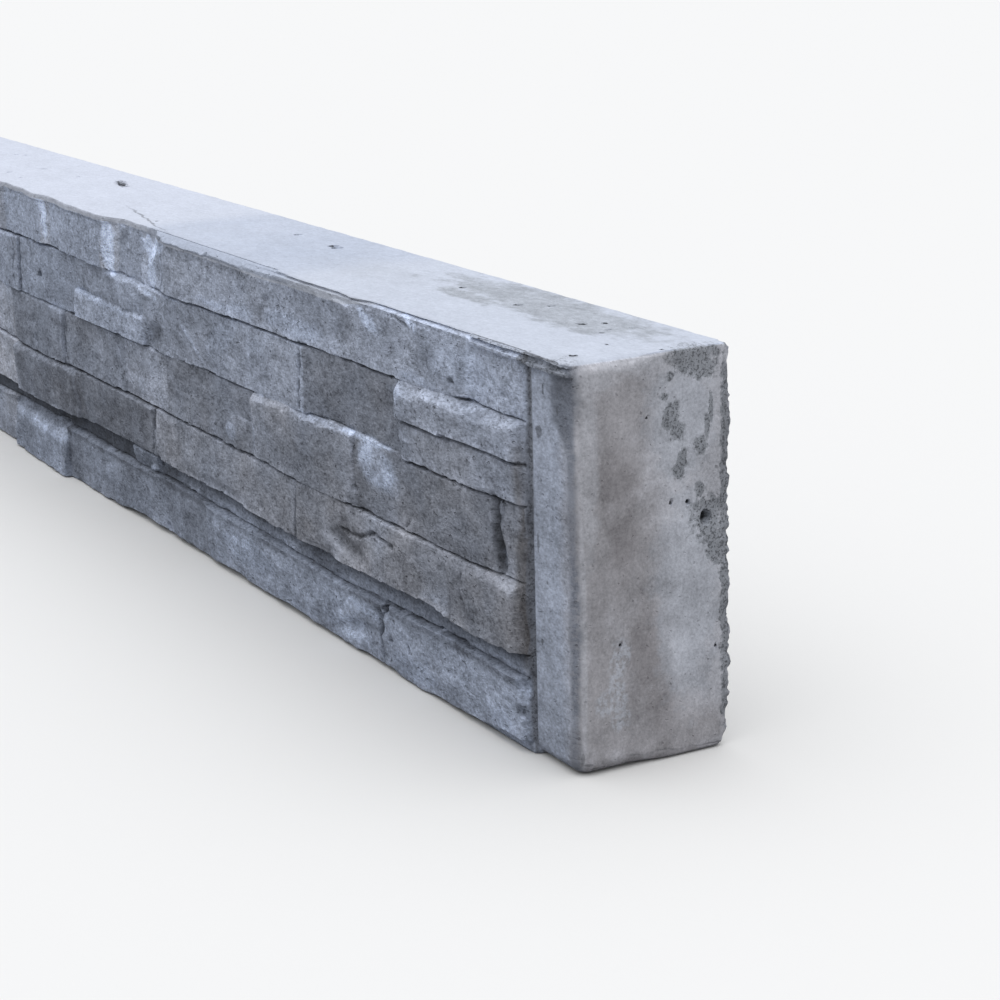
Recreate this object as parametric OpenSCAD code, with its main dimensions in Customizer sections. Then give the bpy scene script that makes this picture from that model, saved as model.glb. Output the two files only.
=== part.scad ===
// Retaining-wall sleeper of cast concrete with a stacked-stone face.
// It is cast in one piece: two smooth end tongues drop into the channels of steel posts, and
// between them courses of split stones stand proud of the tongue face. The sleeper stands on
// its long edge, as it does in a wall. X runs along it, its stone face looks towards -Y, and
// the origin is under the middle of its box.

/* [Sleeper] */
// Length of the sleeper
sleeper_length = 2000; // [800:50:3000]
// Height of the sleeper, standing on its long edge
sleeper_height = 200; // [150:5:300]
// Thickness of the end tongues, from their face to the back
tongue_thickness = 83; // [60:1:140]
// Length of each smooth end tongue
tongue_length = 40; // [30:1:90]
// Radius of the long edges
long_edge_radius = 8; // [3:1:15]
// Radius of the upright edges at the front of the ends
front_edge_radius = 7; // [3:1:15]
// Radius of the upright edges at the back of the ends
back_edge_radius = 4; // [2:1:15]
// Radius of the top and bottom edges of the ends
end_rim_radius = 5; // [2:1:12]

/* [Stone face] */
// How far the proudest stone stands off the tongue face
stone_relief = 14; // [8:1:22]
// How far the floor of the joints stands off the tongue face
joint_floor = 1.5; // [0.5:0.5:3]
// Width of the joints at their floor
joint_width = 0.8; // [0.6:0.2:4]
// Slope of the sides of the stones, in mm sideways for each mm of relief
stone_draft = 0.1; // [0.05:0.01:0.3]
// Longest hewn facet on a stone
facet_length = 45; // [30:5:120]
// How far the hewn facets stand out of or into the face of their stone
facet_depth = 1.2; // [0:0.1:2]
// How far the edges of the stones wander from a straight line
edge_wander = 1; // [0:0.1:1.5]
// Height of the ragged lower edge of the lowest stones
ragged_foot = 2.5; // [1.5:0.5:5]

/* [Hidden] */
$fn = 96;

// Courses from the bottom up, repeated until the sleeper's height is filled. Each is
// [height, stones]. The stones of a course run from the +X tongue, repeated until its length
// is filled. Each stone is [length, low, high, skew, ledge]: its relief at its lower and upper
// edge and how much more it has at its far end, all in twentieths of the full relief, and how
// far its upper edge slopes down to the front, in mm. Where a stone is laid as two thin ones,
// [split, low, high, skew, ledge] of the upper one follow, and split is its height in the course.
COURSES = [
    [38, [[152, 7, 10, -1, 1], [244, 7, 9, 1, 2], [76, 7, 8, 0, 1], [176, 8, 9, 2, 2],
          [118, 17, 13, -2, 9], [206, 7, 9, 1, 2], [92, 10, 8, 0, 1], [168, 7, 9, 2, 3]]],
    [11, [[474, 4, 4, 0, 0], [48, 6, 10, 0, 1], [140, 4, 4, 0, 0], [262, 5, 4, 0, 0],
          [84, 8, 7, 0, 1], [310, 4, 4, 0, 0]]],
    [37, [[74, 13, 13, 0, 5], [182, 11, 9, 1, 1], [218, 12, 9, -1, 1], [146, 8, 11, 1, 2],
          [132, 13, 15, 0, 3], [230, 9, 9, 2, 0], [66, 15, 14, 0, 4], [188, 10, 11, -1, 1],
          [120, 8, 9, 1, 1]]],
    [39, [[20, 5, 5, 0, 1], [162, 8, 9, -1, 1], [132, 10, 12, 1, 3],
          [138, 9, 9, 0, 0, 20, 8, 7, 0, 0], [72, 8, 9, 0, 1], [118, 10, 8, 1, 0],
          [114, 12, 11, -1, 2], [196, 9, 9, 0, 1], [158, 7, 8, 1, 0, 19, 12, 12, 0, 2],
          [104, 10, 9, 0, 1]]],
    [40, [[124, 9, 10, 0, 1, 20, 12, 12, 1, 5], [118, 6, 6, 0, 0], [242, 8, 8, 1, 1],
          [128, 13, 12, 0, 1, 19, 9, 10, 0, 3], [122, 9, 8, 0, 1], [88, 12, 10, 1, 2],
          [214, 8, 9, -1, 1], [96, 20, 19, 0, 4], [172, 9, 8, 0, 0, 21, 6, 6, 0, 0]]],
    [35, [[56, 4, 4, 0, 0], [388, 7, 5, 4, 0], [46, 9, 6, -4, 0], [38, 5, 2, 0, 0],
          [24, 5, 3, 8, 0], [70, 13, 10, -1, 0], [42, 11, 8, -4, 0], [14, 5, 3, 5, 0],
          [84, 10, 9, -3, 0], [170, 9, 9, 0, 0], [96, 6, 5, 1, 0], [236, 8, 9, 0, 0],
          [110, 11, 9, -1, 0], [52, 6, 6, 0, 0], [200, 9, 7, 1, 0]]],
];
relief_parts = 20;
// A stone is left out where less than this of it would fit
shortest_stone = 12;
thinnest_course = 6;

face_start = sleeper_length / 2 - tongue_length;
face_length = sleeper_length - 2 * tongue_length;
tongue_face_y = -(tongue_thickness - stone_relief) / 2;
thinnest_relief = joint_floor + 0.8;
// How deep the stones are rooted in the body, past its round edges
root_depth = long_edge_radius + 2;

// The value at a share of the way between two others
function blend(a, b, share) = a + (b - a) * share;
// The item of a list that is taken round and round
function turn(list, index) = list[index % len(list)];
// Where each of a row of sizes starts, taken round and round until a length is filled
function starts(sizes, filled, at = 0, index = 0) =
    at >= filled ? [] : concat([at], starts(sizes, filled, at + turn(sizes, index), index + 1));
// Two triangles over a patch whose corners are counted round it
function patch(a, b, c, d) = [[a, b, c], [a, c, d]];

// A rectangle about the origin with round corners, of one radius at its low edge in Y and
// another at its high edge
module rounded_rectangle(width, height, low_radius, high_radius) {
    for (end = [[-1, low_radius], [1, high_radius]]) {
        radius = end[1];
        for (side = [-1, 1])
            translate([side * (width / 2 - radius), end[0] * (height / 2 - radius)])
                circle(radius);
        translate([0, end[0] * height / 4])
            square([width - 2 * radius, height / 2], center = true);
        translate([0, end[0] * (height / 4 - radius / 2)])
            square([width, height / 2 - radius], center = true);
    }
}

// The body that runs from end to end, with its three sets of edges rounded
module body() {
    translate([0, tongue_face_y + tongue_thickness / 2, sleeper_height / 2])
        intersection() {
            rotate([90, 0, 90])
                linear_extrude(sleeper_length, center = true)
                    rounded_rectangle(tongue_thickness, sleeper_height,
                        long_edge_radius, long_edge_radius);
            linear_extrude(sleeper_height, center = true)
                rounded_rectangle(sleeper_length, tongue_thickness,
                    front_edge_radius, back_edge_radius);
            rotate([90, 0, 0])
                linear_extrude(tongue_thickness, center = true)
                    rounded_rectangle(sleeper_length, sleeper_height,
                        end_rim_radius, end_rim_radius);
        }
}

// The bed between the tongues that the stones stand on, which shows as the floor of the joints
module stone_bed() {
    translate([-face_length / 2, tongue_face_y - joint_floor, 0])
        cube([face_length, joint_floor + root_depth, sleeper_height]);
}

// One split stone between x_near and x_far and between z_low and z_high. Its face is a net of
// hewn facets three points high, and its sides lean in by the draft from the root in the body.
// A stone that is flush with the top of the sleeper has a level, straight upper edge.
module stone(x_near, x_far, z_low, z_high, low, high, skew, ledge, flush, seed) {
    columns = max(2, ceil((x_near - x_far) / facet_length)) + 1;
    rough = rands(-1, 1, columns * 6, seed);
    crest_rise = 0.18;
    // Share of the way along the stone at which each column of the net stands
    place = [for (column = [0:columns - 1])
        (column + (column % (columns - 1) == 0 ? 0 : 0.3 * rough[column * 6 + 3]))
            / (columns - 1)];
    face = [for (column = [0:columns - 1], row = [0:2])
        let (tool_mark = facet_depth * rough[column * 6 + row],
             dressed = (blend(low, high, row / 2) + skew * place[column])
                 * stone_relief / relief_parts + tool_mark,
             out = min(stone_relief, max(thinnest_relief, dressed)),
             side = stone_draft * out,
             bottom = z_low + side + edge_wander * (1 + rough[column * 6 + 4]) / 2,
             top = flush ? z_high
                 : z_high - side - ledge - edge_wander * (1 + rough[column * 6 + 5]) / 2,
             crest = 0.5 + crest_rise * rough[column * 6 + 4])
        [blend(x_near - side, x_far + side, place[column]),
         tongue_face_y - out,
         row == 0 ? bottom : row == 1 ? blend(bottom, top, crest) : top]];
    root = [for (column = [0:columns - 1], row = [0:2])
        [blend(x_near, x_far, place[column]),
         tongue_face_y + root_depth,
         blend(z_low, z_high, row / 2)]];
    back = len(face);
    last = back - 3;
    polyhedron(
        concat(face, root),
        concat(
            [for (column = [0:columns - 2], row = [0:1]) let (a = column * 3 + row)
                each patch(a, a + 3, a + 4, a + 1)],
            [for (column = [0:columns - 2], row = [0:1]) let (a = back + column * 3 + row)
                each patch(a, a + 1, a + 4, a + 3)],
            [for (a = [0:3:last - 3]) each patch(a, back + a, back + a + 3, a + 3)],
            [for (a = [2:3:last - 1]) each patch(a, a + 3, back + a + 3, back + a)],
            [for (a = [0:1]) each patch(a, a + 1, back + a + 1, back + a)],
            [for (a = [last:last + 1]) each patch(a, back + a, back + a + 1, a + 1)]));
}

// One course of stones from the +X tongue to the -X tongue, between the beds z_low and z_high
module course(index, z_low, z_high) {
    stones = turn(COURSES, index)[1];
    nears = starts([for (laid = stones) laid[0]], face_length);
    gap = joint_width / 2;
    at_top = z_high == sleeper_height;
    top = at_top ? z_high : z_high - gap;
    for (number = [0:len(nears) - 1]) {
        laid = turn(stones, number);
        far = min(nears[number] + laid[0], face_length);
        x_near = face_start - nears[number] - gap;
        x_far = face_start - far + gap;
        split = z_low + (len(laid) > 5 ? laid[5] : 0);
        halved = len(laid) > 5 && split < z_high - thinnest_course;
        seed = 100 * index + 2 * number;
        if (far - nears[number] > shortest_stone) {
            stone(x_near, x_far, z_low + gap, halved ? split - gap : top,
                laid[1], laid[2], laid[3], laid[4], at_top && !halved, seed);
            if (halved)
                stone(x_near, x_far, split + gap, top,
                    laid[6], laid[7], laid[8], laid[9], at_top, seed + 1);
        }
    }
}

// The whole sleeper, cast in one piece
module concrete_sleeper() {
    heights = [for (laid = COURSES) laid[0]];
    beds = starts(heights, sleeper_height);
    color("#8b8e95")
        union() {
            body();
            stone_bed();
            for (index = [0:len(beds) - 1]) {
                z_low = max(beds[index], ragged_foot);
                z_high = min(beds[index] + turn(heights, index), sleeper_height);
                if (z_high - z_low > thinnest_course)
                    course(index, z_low, z_high);
            }
        }
}

concrete_sleeper();
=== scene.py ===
# %% [markdown]
# # A concrete sleeper with a stacked-stone face
#
# A sleeper of this kind is cast face down in a textured mould: wet concrete runs into a rubber
# sheet that was made from real split stones, and the open side is struck off and trowelled. So
# the finished piece has three very different skins: a face of stone courses, smooth sides that
# copy a steel form, and a rough back. This lesson builds all of them as one closed skin.

# %% Tools, frame and sizes
import math

import bpy
import numpy as np
from mathutils import Matrix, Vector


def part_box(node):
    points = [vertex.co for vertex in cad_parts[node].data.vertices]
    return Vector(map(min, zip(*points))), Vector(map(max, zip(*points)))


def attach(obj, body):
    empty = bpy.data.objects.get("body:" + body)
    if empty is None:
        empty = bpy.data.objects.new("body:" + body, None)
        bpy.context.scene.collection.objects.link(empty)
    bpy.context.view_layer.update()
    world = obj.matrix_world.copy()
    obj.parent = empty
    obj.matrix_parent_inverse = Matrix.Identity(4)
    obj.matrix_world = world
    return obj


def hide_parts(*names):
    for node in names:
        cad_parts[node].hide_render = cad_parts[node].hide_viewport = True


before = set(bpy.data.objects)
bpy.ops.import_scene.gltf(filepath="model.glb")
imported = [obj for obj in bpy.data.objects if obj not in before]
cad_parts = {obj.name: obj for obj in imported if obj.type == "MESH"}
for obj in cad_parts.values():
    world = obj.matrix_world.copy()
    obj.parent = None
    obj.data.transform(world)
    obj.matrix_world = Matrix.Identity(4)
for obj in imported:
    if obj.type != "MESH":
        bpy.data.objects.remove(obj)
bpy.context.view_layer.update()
MM = 0.001
low_corner, high_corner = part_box("concrete_sleeper")
LENGTH, DEPTH, HEIGHT = [round((b - a) / MM, 2) for a, b in zip(low_corner, high_corner)]
print(f"sleeper {LENGTH:.0f} x {DEPTH:.0f} x {HEIGHT:.0f} mm")

# %% [markdown]
# ## The sizes of the casting
#
# Everything is worked out in millimetres and becomes metres only when the mesh is made. The
# tongues at both ends are smooth and plain, because they have to slide into a steel post. The
# stones between them stand up to `RELIEF` in front of the tongue face.

# %% Sizes of the casting, in millimetres
RELIEF = 14
RELIEF_PARTS = 20
TONGUE_LENGTH = 40
FRONT_Y = -DEPTH / 2 + RELIEF
BACK_Y = DEPTH / 2
END_X = LENGTH / 2
FACE_START = END_X - TONGUE_LENGTH
FACE_LENGTH = LENGTH - 2 * TONGUE_LENGTH
COARSE = 1.0
print(f"tongue {BACK_Y - FRONT_Y:.0f} mm thick, stones over {FACE_LENGTH:.0f} mm")

# %% [markdown]
# ## The lay of the stones
#
# A mason reads a stacked wall course by course, so the stones are written that way too: from
# the bottom course up, and in each course from the right-hand tongue to the left. A stone is its
# length, its relief at its lower and upper edge, how much more relief it has at its far end, and
# how far its upper edge slopes down to the front as a ledge. Reliefs are in twentieths of the
# full relief. A stone laid as two thin ones adds the height of the joint between them and the
# same four numbers for the upper one.

# %% Courses of stones
COURSES = [
    (38, [(152, 7, 10, -1, 1), (244, 7, 9, 1, 2), (76, 7, 8, 0, 1), (176, 8, 9, 2, 2),
          (118, 17, 13, -2, 9), (206, 7, 9, 1, 2), (92, 10, 8, 0, 1), (168, 7, 9, 2, 3)]),
    (11, [(474, 4, 4, 0, 0), (48, 6, 10, 0, 1), (140, 4, 4, 0, 0), (262, 5, 4, 0, 0),
          (84, 8, 7, 0, 1), (310, 4, 4, 0, 0)]),
    (37, [(74, 13, 13, 0, 5), (182, 11, 9, 1, 1), (218, 12, 9, -1, 1), (146, 8, 11, 1, 2),
          (132, 13, 15, 0, 3), (230, 9, 9, 2, 0), (66, 15, 14, 0, 4), (188, 10, 11, -1, 1),
          (120, 8, 9, 1, 1)]),
    (39, [(20, 5, 5, 0, 1), (162, 8, 9, -1, 1), (132, 10, 12, 1, 3),
          (138, 9, 9, 0, 0, 20, 8, 7, 0, 0), (72, 8, 9, 0, 1), (118, 10, 8, 1, 0),
          (114, 12, 11, -1, 2), (196, 9, 9, 0, 1), (158, 7, 8, 1, 0, 19, 12, 12, 0, 2),
          (104, 10, 9, 0, 1)]),
    (40, [(124, 9, 10, 0, 1, 20, 12, 12, 1, 5), (118, 6, 6, 0, 0), (242, 8, 8, 1, 1),
          (128, 13, 12, 0, 1, 19, 9, 10, 0, 3), (122, 9, 8, 0, 1), (88, 12, 10, 1, 2),
          (214, 8, 9, -1, 1), (96, 20, 19, 0, 4), (172, 9, 8, 0, 0, 21, 6, 6, 0, 0)]),
    (35, [(56, 4, 4, 0, 0), (388, 7, 5, 4, 0), (46, 9, 6, -4, 0), (38, 5, 2, 0, 0),
          (24, 5, 3, 8, 0), (70, 13, 10, -1, 0), (42, 11, 8, -4, 0), (14, 5, 3, 5, 0),
          (84, 10, 9, -3, 0), (170, 9, 9, 0, 0), (96, 6, 5, 1, 0), (236, 8, 9, 0, 0),
          (110, 11, 9, -1, 0), (52, 6, 6, 0, 0), (200, 9, 7, 1, 0)]),
]
COURSE_KEY = 10 * LENGTH


def lay_stones():
    """Lays each course from its own list, taken round and round until the face is full. Each
    stone becomes one row: near end, far end, lower bed, upper bed, low, high, skew, ledge, and
    the row of the thin stone on top of it, or -1."""
    rows, uppers, keys = [], [], []
    bed = 0
    for index, (height, stones) in enumerate(COURSES):
        near, number = 0, 0
        while near < FACE_LENGTH:
            length, low, high, skew, ledge, *upper = stones[number % len(stones)]
            far = min(near + length, FACE_LENGTH)
            top = bed + upper[0] if upper else bed + height
            rows.append([near, far, bed, top, low, high, skew, ledge, -1])
            keys.append(index * COURSE_KEY + near)
            if upper:
                uppers.append((len(rows) - 1, [near, far, top, bed + height, *upper[1:], -1]))
            near += length
            number += 1
        bed += height
    for lower_row, upper_row in uppers:
        rows[lower_row][8] = len(rows)
        rows.append(upper_row)
    return np.array(rows, float), np.array(keys)


STONES, STONE_KEYS = lay_stones()
BEDS = np.cumsum([0] + [course[0] for course in COURSES])
print(f"{len(STONES)} stones in {len(COURSES)} courses")


def find_stone(along, z):
    """The row of the stone at each point: the course comes from the height, and then the last
    stone of that course that starts before the point, by one sorted search over all courses."""
    course = np.clip(np.searchsorted(BEDS, z, side="right") - 1, 0, len(COURSES) - 1)
    key = course * COURSE_KEY + np.clip(along, 0, FACE_LENGTH)
    row = np.searchsorted(STONE_KEYS, key, side="right") - 1
    upper = STONES[row, 8].astype(int)
    return np.where((upper >= 0) & (z > STONES[row, 3]), upper, row)


# %% [markdown]
# ## Two kinds of roughness
#
# Nearly every rough surface can be made from smooth noise at several sizes. Split stone needs
# one thing more: where a flake breaks off, it leaves a flat or slightly hollow facet with a
# sharp rim. The lowest of many tilted, overlapping facets gives exactly that pattern.

# %% Noise
def lattice(i, j, seed):
    """A fixed random number in 0..1 for each pair of whole numbers, from multiplying them by
    large odd numbers and mixing the bits."""
    h = (np.int64(1) * i).astype(np.int64) * 374761393
    h = h + (np.int64(1) * j).astype(np.int64) * 668265263 + seed * 974634777
    h = ((h ^ (h >> 13)) * 1274126177) & 0x7FFFFFFF
    h = ((h ^ (h >> 15)) * 2246822519) & 0x7FFFFFFF
    return (h ^ (h >> 16)) / 0x7FFFFFFF


def noise(x, y, size, seed=0):
    """Smooth noise in -1..1: the four lattice numbers round each point are blended by the share
    of the way between them, eased by 3t^2 - 2t^3."""
    x, y = x / size, y / size
    i, j = np.floor(x), np.floor(y)
    u, v = x - i, y - j
    u, v = u * u * (3 - 2 * u), v * v * (3 - 2 * v)
    near = lattice(i, j, seed) * (1 - u) + lattice(i + 1, j, seed) * u
    far = lattice(i, j + 1, seed) * (1 - u) + lattice(i + 1, j + 1, seed) * u
    return 2 * (near * (1 - v) + far * v) - 1


def fractal(x, y, size, octaves, seed=0):
    """Noise at a size, plus half as much at half the size, and so on, brought back to -1..1."""
    total = sum(noise(x, y, size / 2**k, seed + k) / 2**k for k in range(octaves))
    return total / (2 - 2.0**(1 - octaves))


def facets(x, y, size, seed=0):
    """Split facets, about -1..1: on a jittered lattice each middle has its own height and tilt,
    and the value is the lowest of (height + tilt along the distance + a little of the squared
    distance) over the nine middles round the point."""
    x, y = x / size, y / size
    i, j = np.floor(x), np.floor(y)
    lowest = np.full(np.shape(x), 9.0)
    for di in (-1, 0, 1):
        for dj in (-1, 0, 1):
            a, b = i + di, j + dj
            dx, dy = x - a - lattice(a, b, seed), y - b - lattice(a, b, seed + 1)
            tilt = dx * (lattice(a, b, seed + 3) - 0.5) + dy * (lattice(a, b, seed + 4) - 0.5)
            height = lattice(a, b, seed + 2) + 1.1 * tilt + 0.75 * (dx * dx + dy * dy)
            lowest = np.minimum(lowest, height)
    return np.clip(2.6 * (lowest - 0.42), -1, 1.2)


def ease(low, high, value):
    """0 below low, 1 above high, and the curve 3t^2 - 2t^3 between them."""
    t = np.clip((value - low) / (high - low), 0, 1)
    return t * t * (3 - 2 * t)


sample = facets(np.arange(300.0), np.zeros(300), 52)
print(f"split facets from {sample.min():.2f} to {sample.max():.2f}")

# %% [markdown]
# ## Courses that rise and sag
#
# Drawn with a ruler the courses would look like brickwork. In the mould they rise and sag by a
# few millimetres, and a joint is open in one place and filled with cement in the next. Both are
# listed along the right-hand part of the face. Further along, smooth noise takes over.

# %% The line of the beds and how open they are
RISE_AT = [0, 50, 90, 122, 128, 200, 250, 310, 390, 450, 520, 600, 660, 740, 820, 900]
BED_RISE = [
    [0] * 16,
    [1.5, 2, 1.8, 1, 0.5, -2, -1, 0, 0, 1.5, 0, 0.5, 1, 1, 0, 0],
    [2, -0.4, 3, 2.4, 2, -0.6, -0.7, 0, 1, 1.5, 1.5, 0.5, -2.6, -4, -1, 0],
    [1.0, -1, -1.5, -1.4, -1.2, -2.6, -3.6, -2.3, -2.3, -2.6, -1.6, -2.2, -3.2, -3.6, -1, 0],
    [0, -1.2, -1.8, -2.6, 1.2, 1.4, 0, -1.6, -1.4, -3, -2.7, -3, -3, -3, -1, 0],
    [0.6, 1.4, 0.4, -0.8, -0.8, -1, -1.8, -1.5, -3, -3.2, -1, -1, -1, -2, -1, 0],
    [0] * 16,
]
# for each bed between two courses: places along the face, and how open the joint is there
BED_GAPS = [
    ([0, 60, 70, 150, 160, 450, 820], [0.1, 0.1, 0.6, 0.6, 0.3, 0.3, 0.5]),
    ([0, 820], [0.5, 0.5]),
    ([0, 20, 26, 200, 205, 247, 253, 305, 320, 640, 820],
     [0.2, 0.2, 0.6, 0.7, 0.15, 0.15, 0.9, 0.8, 1, 0.9, 0.5]),
    ([0, 122, 127, 180, 185, 235, 240, 305, 312, 385, 392, 450, 456, 495, 505, 610, 640, 820],
     [0.8, 0.8, 0, 0, 0.35, 0.35, 0, 0, 0.55, 0.55, 0.1, 0.1, 0.5, 0.5, 0.95, 0.95, 0.3, 0.4]),
    ([0, 20, 62, 75, 124, 130, 190, 200, 216, 232, 300, 410, 430, 460, 480, 630, 655, 700, 820],
     [0.3, 0.3, 0.55, 0, 0, 0.8, 0.9, 0.1, 0.1, 1, 0.9, 1, 0.5, 0.4, 0.1, 0.1, 0.8, 0.8, 0.5]),
]
SPLIT_GAP = ([0, 130, 200], [0.8, 0.8, 0.1])
# place along the face and height of each open upright joint
OPEN_UPRIGHTS = [(256, 66), (474, 66), (642, 105), (734, 146)]
LISTED = 820


def bed_rise(along, z):
    """How far the courses are lifted: the rise of the bed below a point and of the bed above
    it, blended by the share of the way up the course."""
    lift = np.array([np.interp(along, RISE_AT, rise) for rise in BED_RISE])
    course = np.clip(np.searchsorted(BEDS, z, side="right") - 1, 0, len(COURSES) - 1)
    up = (z - BEDS[course]) / (BEDS[course + 1] - BEDS[course])
    low = np.take_along_axis(lift, course[None], 0)[0]
    high = np.take_along_axis(lift, course[None] + 1, 0)[0]
    return low + (high - low) * up


def wander(along, z):
    """The place of each point among straight courses: its own place, less the rise of the beds
    and a little noise that fades at the top and bottom edges."""
    hold = ease(0, 5, z) * ease(0, 4, HEIGHT - z)
    side = 0.6 * noise(z, along, 14, 51) + 0.35 * noise(z, along, 5, 52)
    rise = 0.40 * noise(along, z, 30, 53) + 0.26 * noise(along, z, 10, 54)
    rise = rise + 0.18 * noise(along, z, 4, 55) - bed_rise(along, z)
    return along + side, z + rise * hold


def openness(along, z, level):
    """How open the bed joint nearest to each point is, 0 to 1. A joint between two thin stones
    of one course has its own value."""
    to_bed = np.abs(z[..., None] - BEDS[1:-1])
    nearest = to_bed.argmin(axis=-1)
    listed = np.array([np.interp(along, *gap) for gap in BED_GAPS])
    gap = np.take_along_axis(listed, nearest[None], 0)[0]
    free = ease(-0.45, 0.35, fractal(along, z, 60, 3, 41))
    gap = gap + (free - gap) * ease(LISTED - 40, LISTED + 20, along)
    gap = np.where(level + 0.6 < to_bed.min(axis=-1), np.interp(along, *SPLIT_GAP), gap)
    return np.clip(gap * (1 + 0.45 * noise(along, z, 7, 42)), 0, 1)


print(f"beds rise and sag by up to {np.abs(BED_RISE).max():.1f} mm, listed over {LISTED} mm")

# %% [markdown]
# ## The face of a stone
#
# The relief of the face is one function of the place on it. Each point asks which stone it is
# in and how far it is from that stone's four edges. In the middle the stone's own slope, facets
# and grain give the height, near an open joint the arris wears away, and the upper edge of a
# stone that stands proud slopes back as a ledge. Most upright joints are shut: where the two
# stones are nearly level there, they simply run into each other.

# %% Faces of the stones
# how many mm each kind of roughness adds: split facets, chips, slow swell, layers and grain
SPLIT, CHIP, SWELL, LAYER, GRAIN = 0.62, 0.42, 0.45, 0.16, 0.50
# upright joints are open where the stones beside them differ by the first, shut at the second
LEVEL_STEP = (2.9, 2.1)
WORN_AWAY = 0.8


def dressed(row, along, z):
    """Relief in mm of a stone before any roughness: its low and high edge blended by the share
    of the way up, plus its skew by the share of the way along."""
    near, far, bed, top, low, high, skew = (STONES[row, k] for k in range(7))
    up = np.clip((z - bed) / (top - bed), 0, 1)
    across = np.clip((along - near) / (far - near), 0, 1)
    return (low + (high - low) * up + skew * across) * RELIEF / RELIEF_PARTS


def open_joints(along, z, near, far, bed):
    """Which points have an open upright joint as their nearest: those listed by place and
    height in the right-hand part, and two in five by lot further along."""
    joint = np.where(along - near < far - along, near, far)
    listed = np.zeros(along.shape, bool)
    for place, height in OPEN_UPRIGHTS:
        listed |= (np.abs(joint - place) < 5) & (np.abs(z - height) < 22)
    chance = lattice(np.round(joint), bed, 43) > 0.6
    return np.where(along < LISTED, listed, chance)


def split_stone(plain, along, z, bed):
    """The plain relief plus split facets, chips, slow swell, layers and grain, which shift from
    course to course, so that no flake runs on over a bed."""
    shift = 7.3 * bed
    split = facets(along + shift, 1.7 * z + shift, 52, 3)
    chips = facets(along + shift, 1.5 * z, 17, 11)
    swell = noise(along, z, 60, 31) + 0.6 * noise(along, z, 24, 32)
    layers = fractal(along / 4 + shift, z, 5, 2, 35)
    grain = fractal(along + 0.4 * z, 1.5 * z, 8, 3, 21)
    return plain + SPLIT * split + CHIP * chips + SWELL * swell + LAYER * layers + GRAIN * grain


def with_ledge(out, along, z, top, ledge):
    """The relief, held below a ledge that rises from the stone above by (distance under the bed
    / length of the ledge)^1.15. The top course has none."""
    above = dressed(find_stone(along, np.minimum(top + 3, HEIGHT - 1)), along, top + 3)
    drop = ledge * (1.1 + 0.40 * noise(along, z, 18, 57) + 0.18 * noise(along, z, 5, 58)) + 0.01
    rest = np.clip((top - z) / drop, 0, 1)
    shelf = above - 0.2 + (out - above + 0.2) * rest**1.15
    at_top = top >= HEIGHT - 1
    return np.where((ledge > 0.2) & (shelf < out) & ~at_top, shelf, out)


def stone_faces(along, z):
    """Relief in mm of every stone by itself, with its roughness, ledge and worn arrises: near
    an edge it loses WORN_AWAY * wear * (1 - distance / wear)^2. Also gives the distance to the
    nearest bed joint and how open it is, and the same two for the nearest upright joint."""
    along, z = wander(along, z)
    row = find_stone(along, z)
    near, far, bed, top, ledge = (STONES[row, k] for k in (0, 1, 2, 3, 7))
    plain = dressed(row, along, z)
    beside = [dressed(find_stone(along + s, z), along + s, z) for s in (-4.5, -2, 0, 2, 4.5)]
    shut = ease(*LEVEL_STEP, np.abs(beside[0] - beside[-1]))
    open_upright = open_joints(along, z, near, far, bed)
    plain = plain + (sum(beside) / 5 - plain) * shut * (1 - open_upright)
    out = with_ledge(split_stone(plain, along, z, bed), along, z, top, ledge)

    level = np.minimum(np.where(bed < 1, 9, z - bed), np.where(top >= HEIGHT - 1, 9, top - z))
    gap = openness(along, z, level)
    upright = np.abs(np.minimum(along - near, far - along))
    wear = (1 + 0.4 * noise(along, z, 5, 62)) * (1 + 2.2 * ease(0.35, 0.8, noise(along, z, 12, 61)))
    edge = np.minimum(upright + 9 * shut * (1 - open_upright), level + 2 * (1 - gap))
    out = out - WORN_AWAY * wear * (1 - np.clip(edge / wear, 0, 1))**2
    return np.clip(out, 0.6, RELIEF), level, gap, upright, open_upright


sample = stone_faces(np.arange(0.0, FACE_LENGTH, 8), np.full(int(FACE_LENGTH / 8), 80.0))[0]
print(f"the third course stands out {sample.mean():.1f} mm on average")

# %% [markdown]
# ## Damage and marks of one particular sleeper
#
# No two castings are alike. Air is trapped against the mould, arrises break as the sheet is
# pulled off, and a line of cement squeezes out where sheet and form meet. Each such mark is
# one short row of numbers below, given along the sleeper from the right-hand tongue and up
# from its underside. Marks beyond the ones listed are strewn by a seeded generator.

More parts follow.
